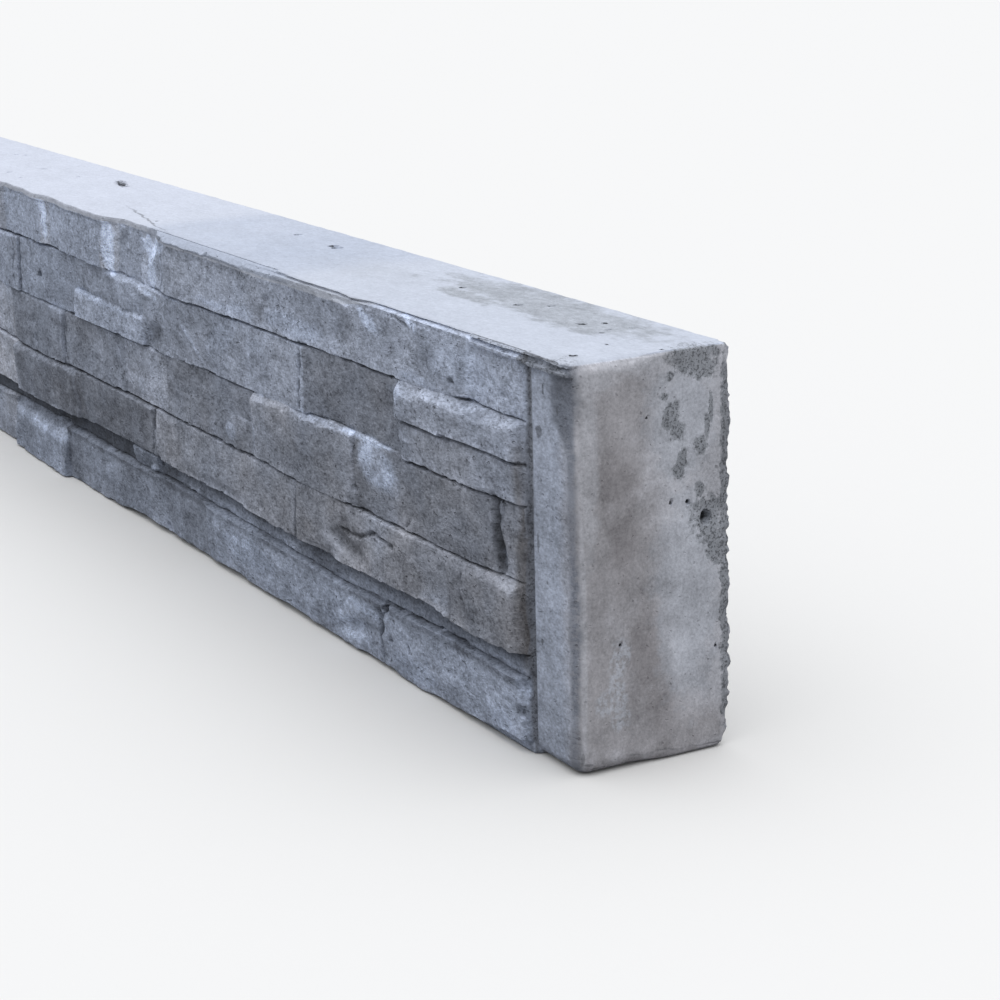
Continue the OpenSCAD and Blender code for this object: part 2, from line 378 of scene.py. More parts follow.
# %% Marks on the stone face
# along, height, half length, half height, lean in degrees, depth (below 0 stands out), ragged
HOLLOWS = [
    (68, 174, 3, 1.7, 20, 1.5, 1.2), (52, 166, 9, 2.5, 0, 1.2, 0.8), (18, 175, 7, 2, 0, 1.0, 0.8),
    (375, 197, 3, 6, 0, 2.4, 0.4), (470, 192, 12, 14, 35, 2.6, 0.4), (488, 196, 6, 7, 0, 2.0, 0.4),
    (472, 131, 21, 8, -25, 2.8, 0.3), (689.5, 140.5, 4, 2.5, 0, 5, 0.2),
    (522, 197, 5, 3, 0, 2.5, 0.5), (640, 98, 3, 7, 0, 2.5, 0.3), (710, 105, 6, 5, 0, 2.0, 0.4),
    (705, 92, 6, 4, 0, 2.0, 0.4), (465, 6, 4, 4, 0, 3, 0.3), (103, 17, 3, 2, 0, 1.2, 0.4),
    (77, 20, 3, 2, 0, 1.2, 0.4), (147, 35, 3, 2, 0, 1.8, 0.4), (89, 40, 4, 1.5, 0, 1.8, 0.5),
    (65, 40, 5, 2, 0, 1.6, 0.5), (2, 22, 5, 4, 0, 2.2, 0.6), (185, 15, 26, 5, -10, 1.8, 0.3),
    (190, 60, 30, 6, 8, 2.6, 0.35), (225, 49, 22, 4, 0, 1.4, 0.5), (350, 53, 60, 5, 0, 2.0, 0.7),
    (470, 51, 5, 4, 0, 3, 0.3), (20, 52, 9, 6, 0, 1.4, 0.7), (430, 95, 24, 9, 6, 1.4, 0.4),
    (650, 44, 30, 4, 0, 1.6, 0.3), (300, 100, 26, 12, 0, 1.0, 0.5),
    (100, 110, 40, 12, -6, 0.8, 0.5), (663, 40, 14, 3, 0, 3, 0.3),
    (157, 27, 4.5, 8, -15, 3.0, 0.25), (151, 34.5, 3.4, 2.4, 0, 6, 0.2),
    (123, 20, 4.0, 1.3, 50, 2.6, 0.2), (134, 25, 4, 0.8, 60, 0.8, 0.3),
]
SWELLS = [
    (89, 51, 22, 3.5, -4, -1.4, 0.4), (348, 94, 9, 5, 0, -1.2, 0.3), (485, 94, 30, 7, 0, -1.2, 0.3),
    (485, 41, 12, 2.5, -12, -1.8, 0.6), (150, 112, 28, 12, 0, -0.8, 0.2),
    (0, 34, 8, 3.5, 30, -1.5, 0.6), (115, 134, 14, 1.8, 6, -0.9, 0.5),
    (480, 157, 15, 2.5, 0, -1.5, 0.3), (600, 70, 40, 10, 0, -1, 0.4),
    (404, 137, 22, 2.5, 31, -0.9, 0.4),
]
# width, depth, then the points (along, height) of each crack
CRACKS = [
    (4.8, 4.6, [(25, 122), (24, 104), (21.5, 91)]),
    (1.5, 2.4, [(199, 68), (174, 69), (158, 75), (134, 73)]),
    (1.7, 2.6, [(149, 37), (154, 28), (158, 18), (155, 2)]),
    (1.0, 1.0, [(115, 95), (119, 90), (123, 86)]),
    (1.2, 2.2, [(244, 164), (246.5, 146), (248, 127)]),
    (0.9, 1.0, [(266, 163), (273, 157), (269, 153), (268, 144)]),
    (1.1, 1.6, [(258, 71), (257, 60), (259, 50)]),
    (0.9, 0.9, [(57, 79), (60, 72), (55, 60)]),
    (1.2, 1.6, [(453, 164), (447, 176), (452, 195)]),
    (1.4, 2.2, [(484, 50), (480, 60), (476, 72), (473, 82)]),
    (1.0, 1.2, [(128, 196), (113, 192)]),
    (1.0, 1.2, [(637, 86), (640, 98), (638, 108), (641, 122)]),
    (1.1, 1.5, [(742, 125), (745, 138), (743, 150), (746, 163)]),
    (1.0, 1.2, [(708, 162), (666, 164)]),
]
# how far the lowest stones stop above the underside, at places along the face
FOOT = ([0, 8, 40, 75, 210, 320, 400, 520, 545, 640, 1920], [6, 6, 3, 1, 1, 2, 3, 3, 0.5, 0.5, 2])
print(f"{len(HOLLOWS)} hollows, {len(SWELLS)} swells and {len(CRACKS)} cracks are listed")


# %% How marks and cracks are cut
def blot(across, up, mark):
    """1 in the middle of a leaning oval, 0 at its ragged rim, as 1 - (distance / size)^2."""
    along, height, half_length, half_height, lean, _, ragged = mark
    angle = math.radians(lean)
    dx, dz = across - along, up - height
    a = (dx * math.cos(angle) + dz * math.sin(angle)) / half_length
    b = (dz * math.cos(angle) - dx * math.sin(angle)) / half_height
    rim = 1 + ragged * fractal(across, up, 0.8 * (half_length + half_height), 3, 91)
    return np.clip(rim - a * a - b * b, 0, 1)


def strewn(count, seed):
    """Small pits and chips strewn over the whole face."""
    draw = np.random.default_rng(seed)
    size = draw.uniform(1, 3.5, count)
    return [(*mark, 0.5) for mark in zip(
        draw.uniform(30, FACE_LENGTH - 30, count), draw.uniform(8, HEIGHT - 8, count),
        size * draw.uniform(1, 2.5, count), size, draw.uniform(-40, 40, count),
        draw.uniform(0.4, 1.2, count))]


def press_marks(relief, along, z, marks):
    """Takes depth * blot off the relief, looking only at the rows of the grid that each mark
    can reach."""
    for mark in marks:
        reach = 1.7 * max(mark[2], mark[3])
        rows = np.flatnonzero(np.abs(along[:, 0] - mark[0]) < reach)
        if len(rows):
            near, far = rows[0], rows[-1] + 1
            across, up = along[near:far], z[near:far]
            relief[near:far] -= mark[5] * blot(across, up, mark)


def crack_depth(along, z, width, depth, points):
    """Depth * (1 - distance / width), where the distance is to the nearest leg of the crack and
    is shaken by noise."""
    nearest = np.full(along.shape, 99.0)
    for (ax, az), (bx, bz) in zip(points, points[1:]):
        length2 = (bx - ax)**2 + (bz - az)**2
        t = np.clip(((along - ax) * (bx - ax) + (z - az) * (bz - az)) / length2, 0, 1)
        nearest = np.minimum(nearest, np.hypot(along - ax - t * (bx - ax), z - az - t * (bz - az)))
    nearest = nearest + 0.8 * noise(along, z, 4, 95)
    return depth * np.clip(1 - nearest / width, 0, 1)


# %% [markdown]
# ## One skin from end to end
#
# The whole skin is a single grid. One direction runs round the section: up the stone face, over
# the top, down the back and along the bottom. The other runs along the sleeper, and at each
# end it goes on over the end face as rings that shrink to the middle. The grid is finer where
# bed joints and arrises need it.

# %% Gaps of the grid
def spread(start, stop, gap):
    """Numbers from start up to but not including stop, whose gaps follow gap(place): the
    running sum of 1 / gap is cut into equal parts."""
    fine = np.linspace(start, stop, 4001)
    steps = np.abs(np.diff(fine)) / gap((fine[1:] + fine[:-1]) / 2)
    total = np.concatenate([[0], np.cumsum(steps)])
    count = max(3, round(total[-1] / COARSE))
    return np.interp(np.arange(count) * total[-1] / count, total, fine)


def face_gap(z):
    """Gap of the rows on the stone face: 1.4 mm, and half of that at the beds of the courses
    and under the lip."""
    to_bed = np.abs(z[:, None] - BEDS[None, 1:-1]).min(axis=1)
    return 1.4 - 0.65 * (1 - ease(3, 5.5, to_bed)) - 0.75 * ease(HEIGHT - 10, HEIGHT - 7, z)


def body_gap(x):
    """Gap of the stations along the sleeper: 1.2 mm, finer at the end arrises, coarser far
    from the right-hand end."""
    far = 0.4 * ease(-600, -400, -x) + 1.4 * ease(0, 300, -x)
    return 1.2 + far - 0.5 * ease(END_X - 10, END_X - 6, np.abs(x))


print("gaps of", body_gap(np.array([END_X, 0, -END_X])).round(1), "mm along the sleeper")

# %% The sharp box as one grid
MIDDLE_Y, MIDDLE_Z = (FRONT_Y + BACK_Y) / 2, HEIGHT / 2
CAP_RINGS = 84
front = spread(0, HEIGHT, face_gap)
over = spread(FRONT_Y, BACK_Y, lambda y: 1.5 - 0.6 * ease(FRONT_Y + 10, FRONT_Y + 4, y))
back = spread(HEIGHT, 0, lambda z: 1.7 + 0 * z)
under = spread(BACK_Y, FRONT_Y, lambda y: 2.6 + 0 * y)
ring_y = np.concatenate([np.full(len(front), FRONT_Y), over, np.full(len(back), BACK_Y), under])
ring_z = np.concatenate([front, np.full(len(over), HEIGHT), back, np.zeros(len(under))])
body_x = spread(END_X, -END_X, body_gap)
cap = np.linspace(0, 1, round(CAP_RINGS / COARSE) + 1)[1:-1]
cap_scale = cap + 0.16 * np.sin(math.pi * cap)
along_x = np.concatenate([np.full(len(cap), END_X), body_x, np.full(len(cap), -END_X)])
ring_scale = np.concatenate([cap_scale, np.ones(len(body_x)), cap_scale[::-1]])
X = np.repeat(along_x[:, None], len(ring_y), axis=1)
Y = MIDDLE_Y + ring_scale[:, None] * (ring_y - MIDDLE_Y)
Z = MIDDLE_Z + ring_scale[:, None] * (ring_z - MIDDLE_Z)
body_rows = slice(len(cap), len(cap) + len(body_x))
front_rows = slice(0, len(front) + 1)
print(f"grid of {X.shape[0]} x {X.shape[1]} points")

# %% [markdown]
# ## Joints, foot and lip
#
# Where a high stone meets a low one there is simply a step, because the mould was pressed from
# tightly laid stones. The joint itself is a thin groove below the lower of the two, deep in
# some places and closed in others. Most upright joints are closed.

# %% Relief of the whole face
along = FACE_START - X[body_rows, front_rows]
height = Z[body_rows, front_rows]
relief, to_bed, bed_open, to_upright, upright_open = stone_faces(along, height)
press_marks(relief, along, height, HOLLOWS + SWELLS + strewn(count=170, seed=7))
cracks = np.zeros(relief.shape)
for width, depth, points in CRACKS:
    reach = [p[0] for p in points]
    near, far = np.searchsorted(along[:, 0], (min(reach) - 8, max(reach) + 8))
    part = (slice(near, far), slice(None))
    deep = crack_depth(along[part], height[part], width, depth, points)
    cracks[part] = np.maximum(cracks[part], deep)
relief -= cracks
print(f"marks cut, the deepest crack {cracks.max():.1f} mm")


# %% Joints, ends and foot of the face
# half width of a bed joint when shut, how much wider it is when open, and its depth, in mm
BED_HALF, BED_WIDER, BED_DEEP = 0.55, 0.45, 3.0
UPRIGHT_HALF, UPRIGHT_DEEP = 1.0, 1.4
# how far the stones run on over the tongue, at the underside and above half height
PAST_END = (0.4, 1.4)
END_FOOT, END_STEEP = 0.9, 0.95
# what share of its relief a stone keeps below the foot line
FOOT_SHARE = 0.15


def lowest_near(field):
    """The lowest value among each grid point and its eight neighbours."""
    for axis in (0, 1):
        before, after = np.roll(field, 1, axis), np.roll(field, -1, axis)
        field = np.minimum(field, np.minimum(before, after))
    return field


bed_half = BED_HALF + BED_WIDER * bed_open
groove_bed = np.clip(1 - to_bed / bed_half, 0, 1) * BED_DEEP * bed_open
groove_upright = np.clip(1 - to_upright / UPRIGHT_HALF, 0, 1) * UPRIGHT_DEEP * upright_open
groove = np.maximum(groove_bed, groove_upright)
relief = np.where(groove > 0.15, lowest_near(relief) - groove, relief)
groove = np.maximum(groove, cracks)

tail = np.minimum(along, FACE_LENGTH - along)
past_end = PAST_END[1] - (PAST_END[1] - PAST_END[0]) * ease(150, 90, height)
end_slope = (tail + past_end + 1.5 * noise(height, along, 12, 45)).clip(0) * END_STEEP
relief = np.minimum(relief, END_FOOT + end_slope)
foot = np.interp(along, *FOOT) + 1.2 * noise(along, 0 * along, 40, 46)
foot = foot + 0.6 * noise(along, height, 7, 47)
relief = relief * (FOOT_SHARE + (1 - FOOT_SHARE) * ease(-1.5, 1.0, height - foot))
relief = np.clip(relief, 0.4, RELIEF) * ease(-0.7, 0.9, tail + past_end)
print(f"relief from {relief.min():.1f} to {relief.max():.1f} mm")

# %% [markdown]
# Where the rubber sheet ended at the rim of the form, cement squeezed out into a thin lip along
# the upper front arris. It stands out most near the right-hand end and breaks off in pieces.

# %% The lip along the upper front arris
# along; how far the rim, the groove under it and the shoulder under that stand out; how far
# below the top the rim ends, the groove ends and the stones take over
LIP = np.array([
    (-40, 1.8, 0.5, 1.4, 1.4, 4.0, 6.8), (-37, 3.0, 0.9, 2.6, 1.6, 4.2, 7.0),
    (-3, 3.0, 0.9, 2.6, 1.6, 4.2, 7.0), (1, 4.7, 2.4, 4.8, 0.7, 2.0, 5.2),
    (30, 4.9, 2.4, 4.9, 0.7, 2.2, 5.0), (48, 4.6, 2.2, 4.6, 0.7, 2.0, 5.0),
    (54, 0.9, 0.4, 2.6, 0.6, 1.6, 5.0), (68, 1.5, 0.5, 3.4, 0.6, 1.6, 4.4),
    (160, 1.7, 0.5, 3.9, 0.6, 1.6, 4.4), (177, 5.5, 3.8, 4.9, 0.9, 1.8, 6.0),
    (196, 3.7, 2.4, 4.4, 0.9, 1.8, 4.8), (241, 4.6, 3.2, 5.2, 0.9, 1.8, 4.8),
    (277, 3.4, 3.3, 6.0, 0.9, 1.8, 4.8), (316, 2.8, 3.3, 5.8, 0.9, 1.8, 4.6),
])
below_top = HEIGHT - height
rim, dip, shoulder, rim_ends, dip_ends, lip_ends = (
    np.interp(along, LIP[:, 0], LIP[:, k]) for k in range(1, 7))
shaken = 0.35 * noise(along, height, 16, 48) + 0.25 * noise(along, height, 4, 50)
rim_ends = rim_ends * (1 + 0.5 * noise(along, 0 * along, 9, 49))
lip = rim + (dip - rim) * ease(rim_ends, rim_ends + 0.6, below_top)
lip = lip + (shoulder - dip) * ease(dip_ends, dip_ends + 0.9, below_top) + shaken
near_lip = ease(lip_ends + 0.7, lip_ends - 0.5, below_top + shaken) * ease(-40.5, -37, along)
far_lip = 1.2 * ease(5.5, 4.5, below_top) * (0.5 + 0.5 * noise(along, 0 * along, 40, 50))
near_lip = near_lip * ease(326, 316, along)
shaped = relief + (lip - relief) * near_lip + far_lip * ease(316, 330, along)
# between these places the upper arris is broken off to a bevel; beyond them it has no limit
BEVEL_NEAR, BEVEL_FAR = (280, 262), (478, 500)
NO_LIMIT = 20
bevel = 1.5 + 1.3 * below_top + 0.5 * shaken
bevel = bevel + NO_LIMIT * (ease(*BEVEL_NEAR, along) + ease(*BEVEL_FAR, along))
shaped = np.minimum(shaped, bevel)
face_out = np.zeros(X.shape)
face_out[body_rows, front_rows] = np.clip(shaped, 0, RELIEF)
print(f"the lip stands out up to {LIP[:, 1].max():.1f} mm")


# %% [markdown]
# ## Rounded edges
#
# A steel form has a fillet in each corner, so the long edges of the casting come out rounded.
# The Bevel modifier would round a plain box, but this skin already carries its rows of points.
# So each point finds the nearest place of a box that is smaller all round by the radius, and
# is set at that radius from it. That rounds edges and corners in one step.

# %% Rounding
# radius in mm along the stones, and what the tongues add to it, in all, at the lower edge and
# at the upper one, where it is less
STONE_RADIUS, TONGUE_MORE, LOWER_MORE, UPPER_LESS = 1.2, 5.8, 2.0, 3.5
# radius along the back, what its lower edge adds, and the round break of its upper edge, which
# is larger at the ends
BACK_RADIUS, BACK_LOWER_MORE = 1.3, 3.2
BREAK, END_BREAK_MORE = 1.3, 4.5


def to_rounded(shift, radius):
    """The factor that brings a shift from the inner box onto the rounded surface."""
    far = np.maximum(np.sqrt(sum(d * d for d in shift)), 1e-6)
    return np.where(far > 1e-5, radius / far, 1)


def round_edges(x, y, z):
    """Moves each point of the sharp box to the edge radius from the nearest point of the box
    that is smaller by that radius all round. The radius is small along the stones and the back
    and larger at the tongues. The upper back corner of each end is cut round before that."""
    ahead = 1 - ease(MIDDLE_Y - 12, MIDDLE_Y + 12, y)
    upper = ease(MIDDLE_Z - 12, MIDDLE_Z + 12, z)
    corner = ease(0.6, 0.95, np.abs(z - MIDDLE_Z) / MIDDLE_Z)
    tongue = ease(FACE_START - 1, FACE_START + 2, np.abs(x))
    at_end = ease(END_X - 14, END_X - 7, np.abs(x))
    broken = BREAK + END_BREAK_MORE * at_end
    dy, dz = (y - BACK_Y + broken).clip(0), (z - HEIGHT + broken).clip(0)
    scale = np.minimum(to_rounded((dy, dz), broken), 1)
    y, z = y - dy * (1 - scale), z - dz * (1 - scale)

    front_radius = STONE_RADIUS + (TONGUE_MORE + LOWER_MORE * corner * (1 - upper)) * tongue
    front_radius = front_radius - (UPPER_LESS * upper * corner) * tongue * (1 - at_end)
    back_radius = BACK_RADIUS + BACK_LOWER_MORE * corner * (1 - upper)
    radius = back_radius + (front_radius - back_radius) * ahead
    inner = [np.clip(x, -END_X + radius, END_X - radius),
             np.clip(y, FRONT_Y + radius, BACK_Y - radius), np.clip(z, radius, HEIGHT - radius)]
    shift = [x - inner[0], y - inner[1], z - inner[2]]
    scale = to_rounded(shift, radius)
    return [a + d * scale for a, d in zip(inner, shift)]


sharp_z = Z
X, Y, Z = round_edges(X, Y, Z)
forward = np.clip((BACK_Y - Y) / (BACK_Y - FRONT_Y), 0, 1)
column_out = np.where(sharp_z > MIDDLE_Z, face_out[:, [len(front) - 1]], face_out[:, [0]])
column_out[:, front_rows] = face_out[:, front_rows]
Y = Y - column_out * forward**3
print(f"skin from y {Y.min():.1f} to {Y.max():.1f} mm")

# %% [markdown]
# ## Ends, top and back
#
# The steel form leaves the ends and the top smooth, apart from air holes where a bubble sat
# against the steel. The open side of the mould is the back: it is struck off by hand, so it is
# wavy and crumbly, and at the end of the form a crust of crumbs hangs over its edge.

# %% Air holes
# place, place, radius, depth: X and Y on the top, Y and Z on the end
TOP_HOLES = [
    (795, 20.5, 1.8, 4), (857, 19, 2.4, 5), (870, 31, 1.8, 4), (920, 19, 2.6, 5), (925, 29, 1.6, 3),
    (943, 34, 1.4, 3), (945, 15, 1.4, 3), (940, 22, 1.2, 3), (970, 3, 1.3, 3), (982, -23, 2.1, 5),
    (995, 17, 1.1, 2), (623, 26, 2.8, 5), (630, 25, 3.2, 6), (570, 27, 2.2, 5), (255, 29, 3.0, 6),
    (262, 27.5, 3.8, 8), (270, 25.5, 4.0, 9), (278, 23.5, 3.8, 8), (286, 21.5, 3.2, 6),
    (460, -22, 1.3, 3),
]
END_HOLES = [(37.5, 117.5, 3.1, 7), (17.9, 127.5, 1.2, 3), (27.6, 126.5, 1.2, 3),
             (-10.5, 62.7, 1.0, 3), (13, 32, 2.0, 0.5), (43, 52.6, 0.9, 2), (5, 170, 0.8, 2)]
LISTED_HOLES = list(TOP_HOLES)
draw = np.random.default_rng(23)
TOP_HOLES += [(*hole, 4) for hole in zip(draw.uniform(-980, 220, 60), draw.uniform(-25, 44, 60),
                                         draw.uniform(0.8, 2.6, 60))]
FAR_HOLES = [(*hole, 4) for hole in zip(draw.uniform(-25, 40, 14), draw.uniform(10, 190, 14),
                                        draw.uniform(0.8, 2.8, 14))]


def sink_holes(depth, a, b, holes):
    """Adds hole depth * (1 - distance / radius)^0.5 to a field of depths, hole by hole."""
    for at_a, at_b, radius, deep in holes:
        near = (np.abs(a - at_a) < 2 * radius) & (np.abs(b - at_b) < 2 * radius)
        rim = radius * (1 + 0.25 * noise(a[near], b[near], radius, 63))
        distance = np.hypot(a[near] - at_a, b[near] - at_b)
        depth[near] = np.maximum(depth[near], deep * np.sqrt(np.clip(1 - distance / rim, 0, 1)))
    return depth


print(f"{len(TOP_HOLES)} air holes on the top, {len(END_HOLES)} and {len(FAR_HOLES)} on the ends")

# %% The top and the ends
# how far the top and the ends lie inside the box on average, so that their waves stay in it
TOP_INSIDE, END_INSIDE = 0.35, 0.15
on_top = np.zeros(X.shape, bool)
on_top[:, len(front):len(front) + len(over)] = True
on_end = np.abs(X) > END_X - 0.5
top_depth = np.zeros(X.shape)
top_depth[on_top] = sink_holes(np.zeros(on_top.sum()), X[on_top], Y[on_top], TOP_HOLES)
top_wave = 0.25 * noise(X, Y, 90, 64) + 0.12 * fractal(X, Y, 20, 3, 65)
lip_groove = 0.8 * np.clip(1 - np.abs(Y - FRONT_Y - 6.2 - 0.6 * noise(X, Y, 25, 66)) / 1.1, 0, 1)
lip_groove = lip_groove * ease(780, 800, X) * ease(915, 905, X)
sunk = top_depth + TOP_INSIDE + top_wave + lip_groove
Z = Z - np.where(on_top & ~on_end, sunk, 0) * ease(185, 196, Z)

end_depth = np.zeros(X.shape)
right_end, left_end = on_end & (X > 0), on_end & (X < 0)
end_depth[right_end] = sink_holes(np.zeros(right_end.sum()), Y[right_end], Z[right_end], END_HOLES)
end_depth[left_end] = sink_holes(np.zeros(left_end.sum()), Y[left_end], Z[left_end], FAR_HOLES)
end_wave = END_INSIDE + 0.15 * noise(Y, Z, 40, 67) + 0.08 * fractal(Y, Z, 9, 3, 68)
X = X - np.sign(X) * np.where(on_end, end_depth + end_wave, 0)
print(f"air holes up to {max(top_depth.max(), end_depth.max()):.1f} mm deep")

# %% The rough back and its crust
# how far the crust stands out along the ends, and along the upper edge
END_CRUST, TOP_CRUST = 3.0, 1.2
on_back = np.zeros(X.shape, bool)
on_back[:, len(front) + len(over) - 1:-len(under) + 1] = True
rough = 0.9 * fractal(X, Z, 70, 3, 71) + 0.55 * fractal(X, Z, 9, 3, 74) + 0.6
tears = 1.6 * ease(0.45, 0.8, noise(X, 2.5 * Z, 16, 77))
crumbs = 0.9 * noise(Z, X, 3.0, 79) + 0.7 * noise(Z, X, 1.8, 75) + 0.5 * noise(Z, X, 20, 80)
crust = ease(END_X - 8, END_X - 4, np.abs(X)) * ease(BACK_Y - 4, BACK_Y - 1.5, Y) * ease(5, 9, Z)
top_crust = ease(HEIGHT - 6, HEIGHT - 3, Z) * ease(BACK_Y - 5, BACK_Y - 2, Y)
top_crumbs = 1.9 + 0.9 * fractal(X, Z, 12, 3, 78)
out = (rough - tears) * on_back * ease(BACK_Y - 3, BACK_Y - 1.5, Y)
out = np.maximum(out, (END_CRUST + 0.85 * crumbs) * crust)
Y = Y + np.maximum(out, (TOP_CRUST + top_crumbs.clip(0)) * top_crust)
X = X - np.sign(X) * (0.7 - 0.6 * crumbs).clip(0) * crust
print(f"crust up to {Y.max() - BACK_Y:.1f} mm beyond the plain back")

# %% The groove between stones and tongue
groove_x = 0.9 * np.clip(1 - np.abs(np.abs(X) - FACE_START - 0.5) / 1.5, 0, 1)
ahead_only = ease(FRONT_Y + 6, FRONT_Y + 2, Y) * ease(FRONT_Y - 1.2, FRONT_Y - 0.5, Y)
Y = Y + groove_x * ahead_only
print(f"groove {groove_x.max():.1f} mm deep")

# %% [markdown]
# ## From arrays to a mesh
#
# The grid is closed round the section and gets one point at the middle of each end. It is far
# finer than needed on the smooth faces, so Blender's Decimate modifier then merges triangles
# where the surface is flat and keeps them where it is rough.

# %% Mesh
def skin(name, x, y, z):
    """A closed mesh from a grid whose second direction goes round: a square of four corners
    between neighbouring points, and a fan of triangles round one point at each end."""
    rings, around = x.shape
    ends = np.array([[x[0].mean(), MIDDLE_Y, MIDDLE_Z], [x[-1].mean(), MIDDLE_Y, MIDDLE_Z]])
    points = np.concatenate([np.stack([x, y, z], axis=-1).reshape(-1, 3), ends]) * MM
    a = np.arange(rings * around).reshape(rings, around)
    b = np.roll(a, -1, axis=1)
    squares = np.stack([a[:-1], b[:-1], b[1:], a[1:]], axis=-1).reshape(-1, 4)
    near_fan = np.stack([np.full(around, rings * around), b[0], a[0]], axis=-1)
    far_fan = np.stack([np.full(around, rings * around + 1), a[-1], b[-1]], axis=-1)
    corners = np.concatenate([squares.ravel(), near_fan.ravel(), far_fan.ravel()])
    counts = np.concatenate([np.full(len(squares), 4), np.full(2 * around, 3)])
    mesh = bpy.data.meshes.new(name)
    mesh.vertices.add(len(points))
    mesh.vertices.foreach_set("co", points.astype(np.float32).ravel())
    mesh.loops.add(len(corners))
    mesh.loops.foreach_set("vertex_index", corners.astype(np.int32))
    mesh.polygons.add(len(counts))
    mesh.polygons.foreach_set("loop_start", (np.cumsum(counts) - counts).astype(np.int32))
    mesh.update(calc_edges=True)
    mesh.validate()
    piece = bpy.data.objects.new(name, mesh)
    bpy.context.scene.collection.objects.link(piece)
    return piece, 2 * len(squares) + 2 * around


TRIANGLES = 194_000 / COARSE**2     # triangles the thinned skin keeps; a piece may have 200,000
sleeper, fine_count = skin("sleeper_casting", X, Y, Z)
thin = sleeper.modifiers.new("thin_out", "DECIMATE")
thin.ratio = TRIANGLES / fine_count
thin.use_collapse_triangulate = True
seen_by = bpy.context.evaluated_depsgraph_get()
kept = bpy.data.meshes.new_from_object(sleeper.evaluated_get(seen_by))
sleeper.modifiers.clear()
sleeper.data = kept
print(f"{fine_count} triangles thinned to {len(kept.polygons)}")

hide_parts("concrete_sleeper")
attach(sleeper, "root")


# %% [markdown]
# ## Crisp arrises on a smooth skin
#
# Smooth shading averages the faces round a corner, which makes a sharp arris look soft and a
# flat face next to it look swollen. So each corner of each triangle gets its own direction: the
# average of only those neighbours that lean less than 38 degrees away, weighed by their area.

# %% Directions of the corners
def read(items, name, width, kind=np.float32):
    """One property of all items as an array with a given number of columns."""
    values = np.empty(len(items) * width, kind)
    items.foreach_get(name, values)
    return values.reshape(-1, width)


def crisp(mesh, limit=38):
    """Sets the corner directions. Each corner lists the triangles round its point, up to the
    largest number there is, adds area * normal of those within the limit, and makes the sum
    one long."""
    corner_point = read(mesh.loops, "vertex_index", 1, np.int32).ravel()
    place = read(mesh.vertices, "co", 3)[corner_point].reshape(-1, 3, 3)
    normal = np.cross(place[:, 1] - place[:, 0], place[:, 2] - place[:, 0])
    area = np.maximum(np.linalg.norm(normal, axis=1), 1e-12)
    unit = normal / area[:, None]
    order = np.argsort(corner_point, kind="stable")
    count = np.bincount(corner_point, minlength=len(mesh.vertices))
    first = np.cumsum(count) - count
    own = unit.repeat(3, axis=0)
    total = np.zeros_like(own)
    for turn in range(count.max()):
        slot = first[corner_point] + np.minimum(turn, count[corner_point] - 1)
        other = order[slot] // 3
        near = ((own * unit[other]).sum(axis=1) > math.cos(math.radians(limit)))
        near &= turn < count[corner_point]
        total += unit[other] * (area[other]**0.7 * near)[:, None]
    total /= np.maximum(np.linalg.norm(total, axis=1), 1e-12)[:, None]
    mesh.normals_split_custom_set(total)


sleeper.data.shade_smooth()
crisp(sleeper.data)
print("corner directions set")

# %% [markdown]
# ## Colour of the paste
#
# Cast concrete is never one grey. Cement paste that dried fast is pale, paste that stayed damp
# under the mould is darker, and dust and rust water leave a brown cast. These slow changes are
# worked out for each point of the skin and kept on it as a colour, together with painted light
# and shade: darker hollows, joints and recesses, lighter ledges and swells, and a blue cast for
# the sky light on the face. An image would need a flat unwrapped copy of the skin, and its points
# are close enough together to do without.

# %% Colours of the paste and tones of the stones
# the blue in the face and tongue paste is partly painted sky light, the cast the sky throws on them
FACE_PASTE_SKY_TINTED = np.array([0.450, 0.500, 0.608])
TONGUE_PASTE_SKY_TINTED = np.array([0.475, 0.515, 0.605])
END_PASTE = np.array([0.635, 0.632, 0.665])
BACK_PASTE = np.array([0.440, 0.450, 0.475])
BROWN_CAST = np.array([1.07, 0.99, 0.90])
# a place on each stone (along, height), its lightness against the paste, its brown cast
STONE_TONES_AND_RECESS_SHADE = [
    (20, 180, 1.22, 0.2), (200, 180, 1.00, 0.3), (460, 180, 1.05, 0.2), (510, 180, 0.9, 0.1),
    (580, 180, 1.15, 0), (620, 180, 1.05, 0), (640, 180, 1.05, 0), (700, 180, 1.0, 0),
    (60, 155, 0.96, 0.4), (60, 130, 0.86, 0.6), (180, 140, 0.56, 0.6), (300, 140, 0.92, 0.3),
    (560, 130, 1.02, 0.1), (560, 155, 0.92, 0.1), (650, 140, 0.86, 0), (740, 140, 0.82, 0.1),
    (10, 105, 0.66, 1.1), (100, 105, 0.59, 0.9), (250, 105, 0.80, 0.8), (380, 92, 0.68, 0.6),
    (380, 115, 0.66, 0.5), (530, 105, 0.74, 0.4), (620, 105, 0.70, 0.4), (720, 105, 0.66, 0.3),
    (40, 70, 0.63, 1.3), (150, 70, 0.72, 1.1), (330, 70, 0.71, 0.8), (520, 70, 0.49, 0.7),
    (700, 70, 0.54, 0.5), (60, 20, 0.96, 0.1), (200, 20, 0.88, 0.1), (430, 20, 0.74, 0.2),
    # on this line and the next, the stones at height 43 lie in the deep recess; their low lightness
    # is painted shade under the course above
    (560, 20, 0.70, 0.2), (700, 20, 0.80, 0), (100, 43, 0.38, 0.1), (495, 43, 0.55, 0),
    (560, 43, 0.19, 0), (700, 43, 0.17, 0),
]


def stone_tones():
    """The lightness and the brown cast of each stone: a fixed random pair, replaced for the
    stones that are listed."""
    number = np.arange(len(STONES))
    lightness = 0.78 + 0.34 * lattice(number, 5, 5)
    brown = lattice(number, 9, 6)
    for at, up, light, cast in STONE_TONES_AND_RECESS_SHADE:
        chosen = find_stone(np.array([at]), np.array([up]))
        lightness[chosen], brown[chosen] = light, cast
    return lightness, brown


print(f"{len(STONE_TONES_AND_RECESS_SHADE)} stones have a tone of their own")
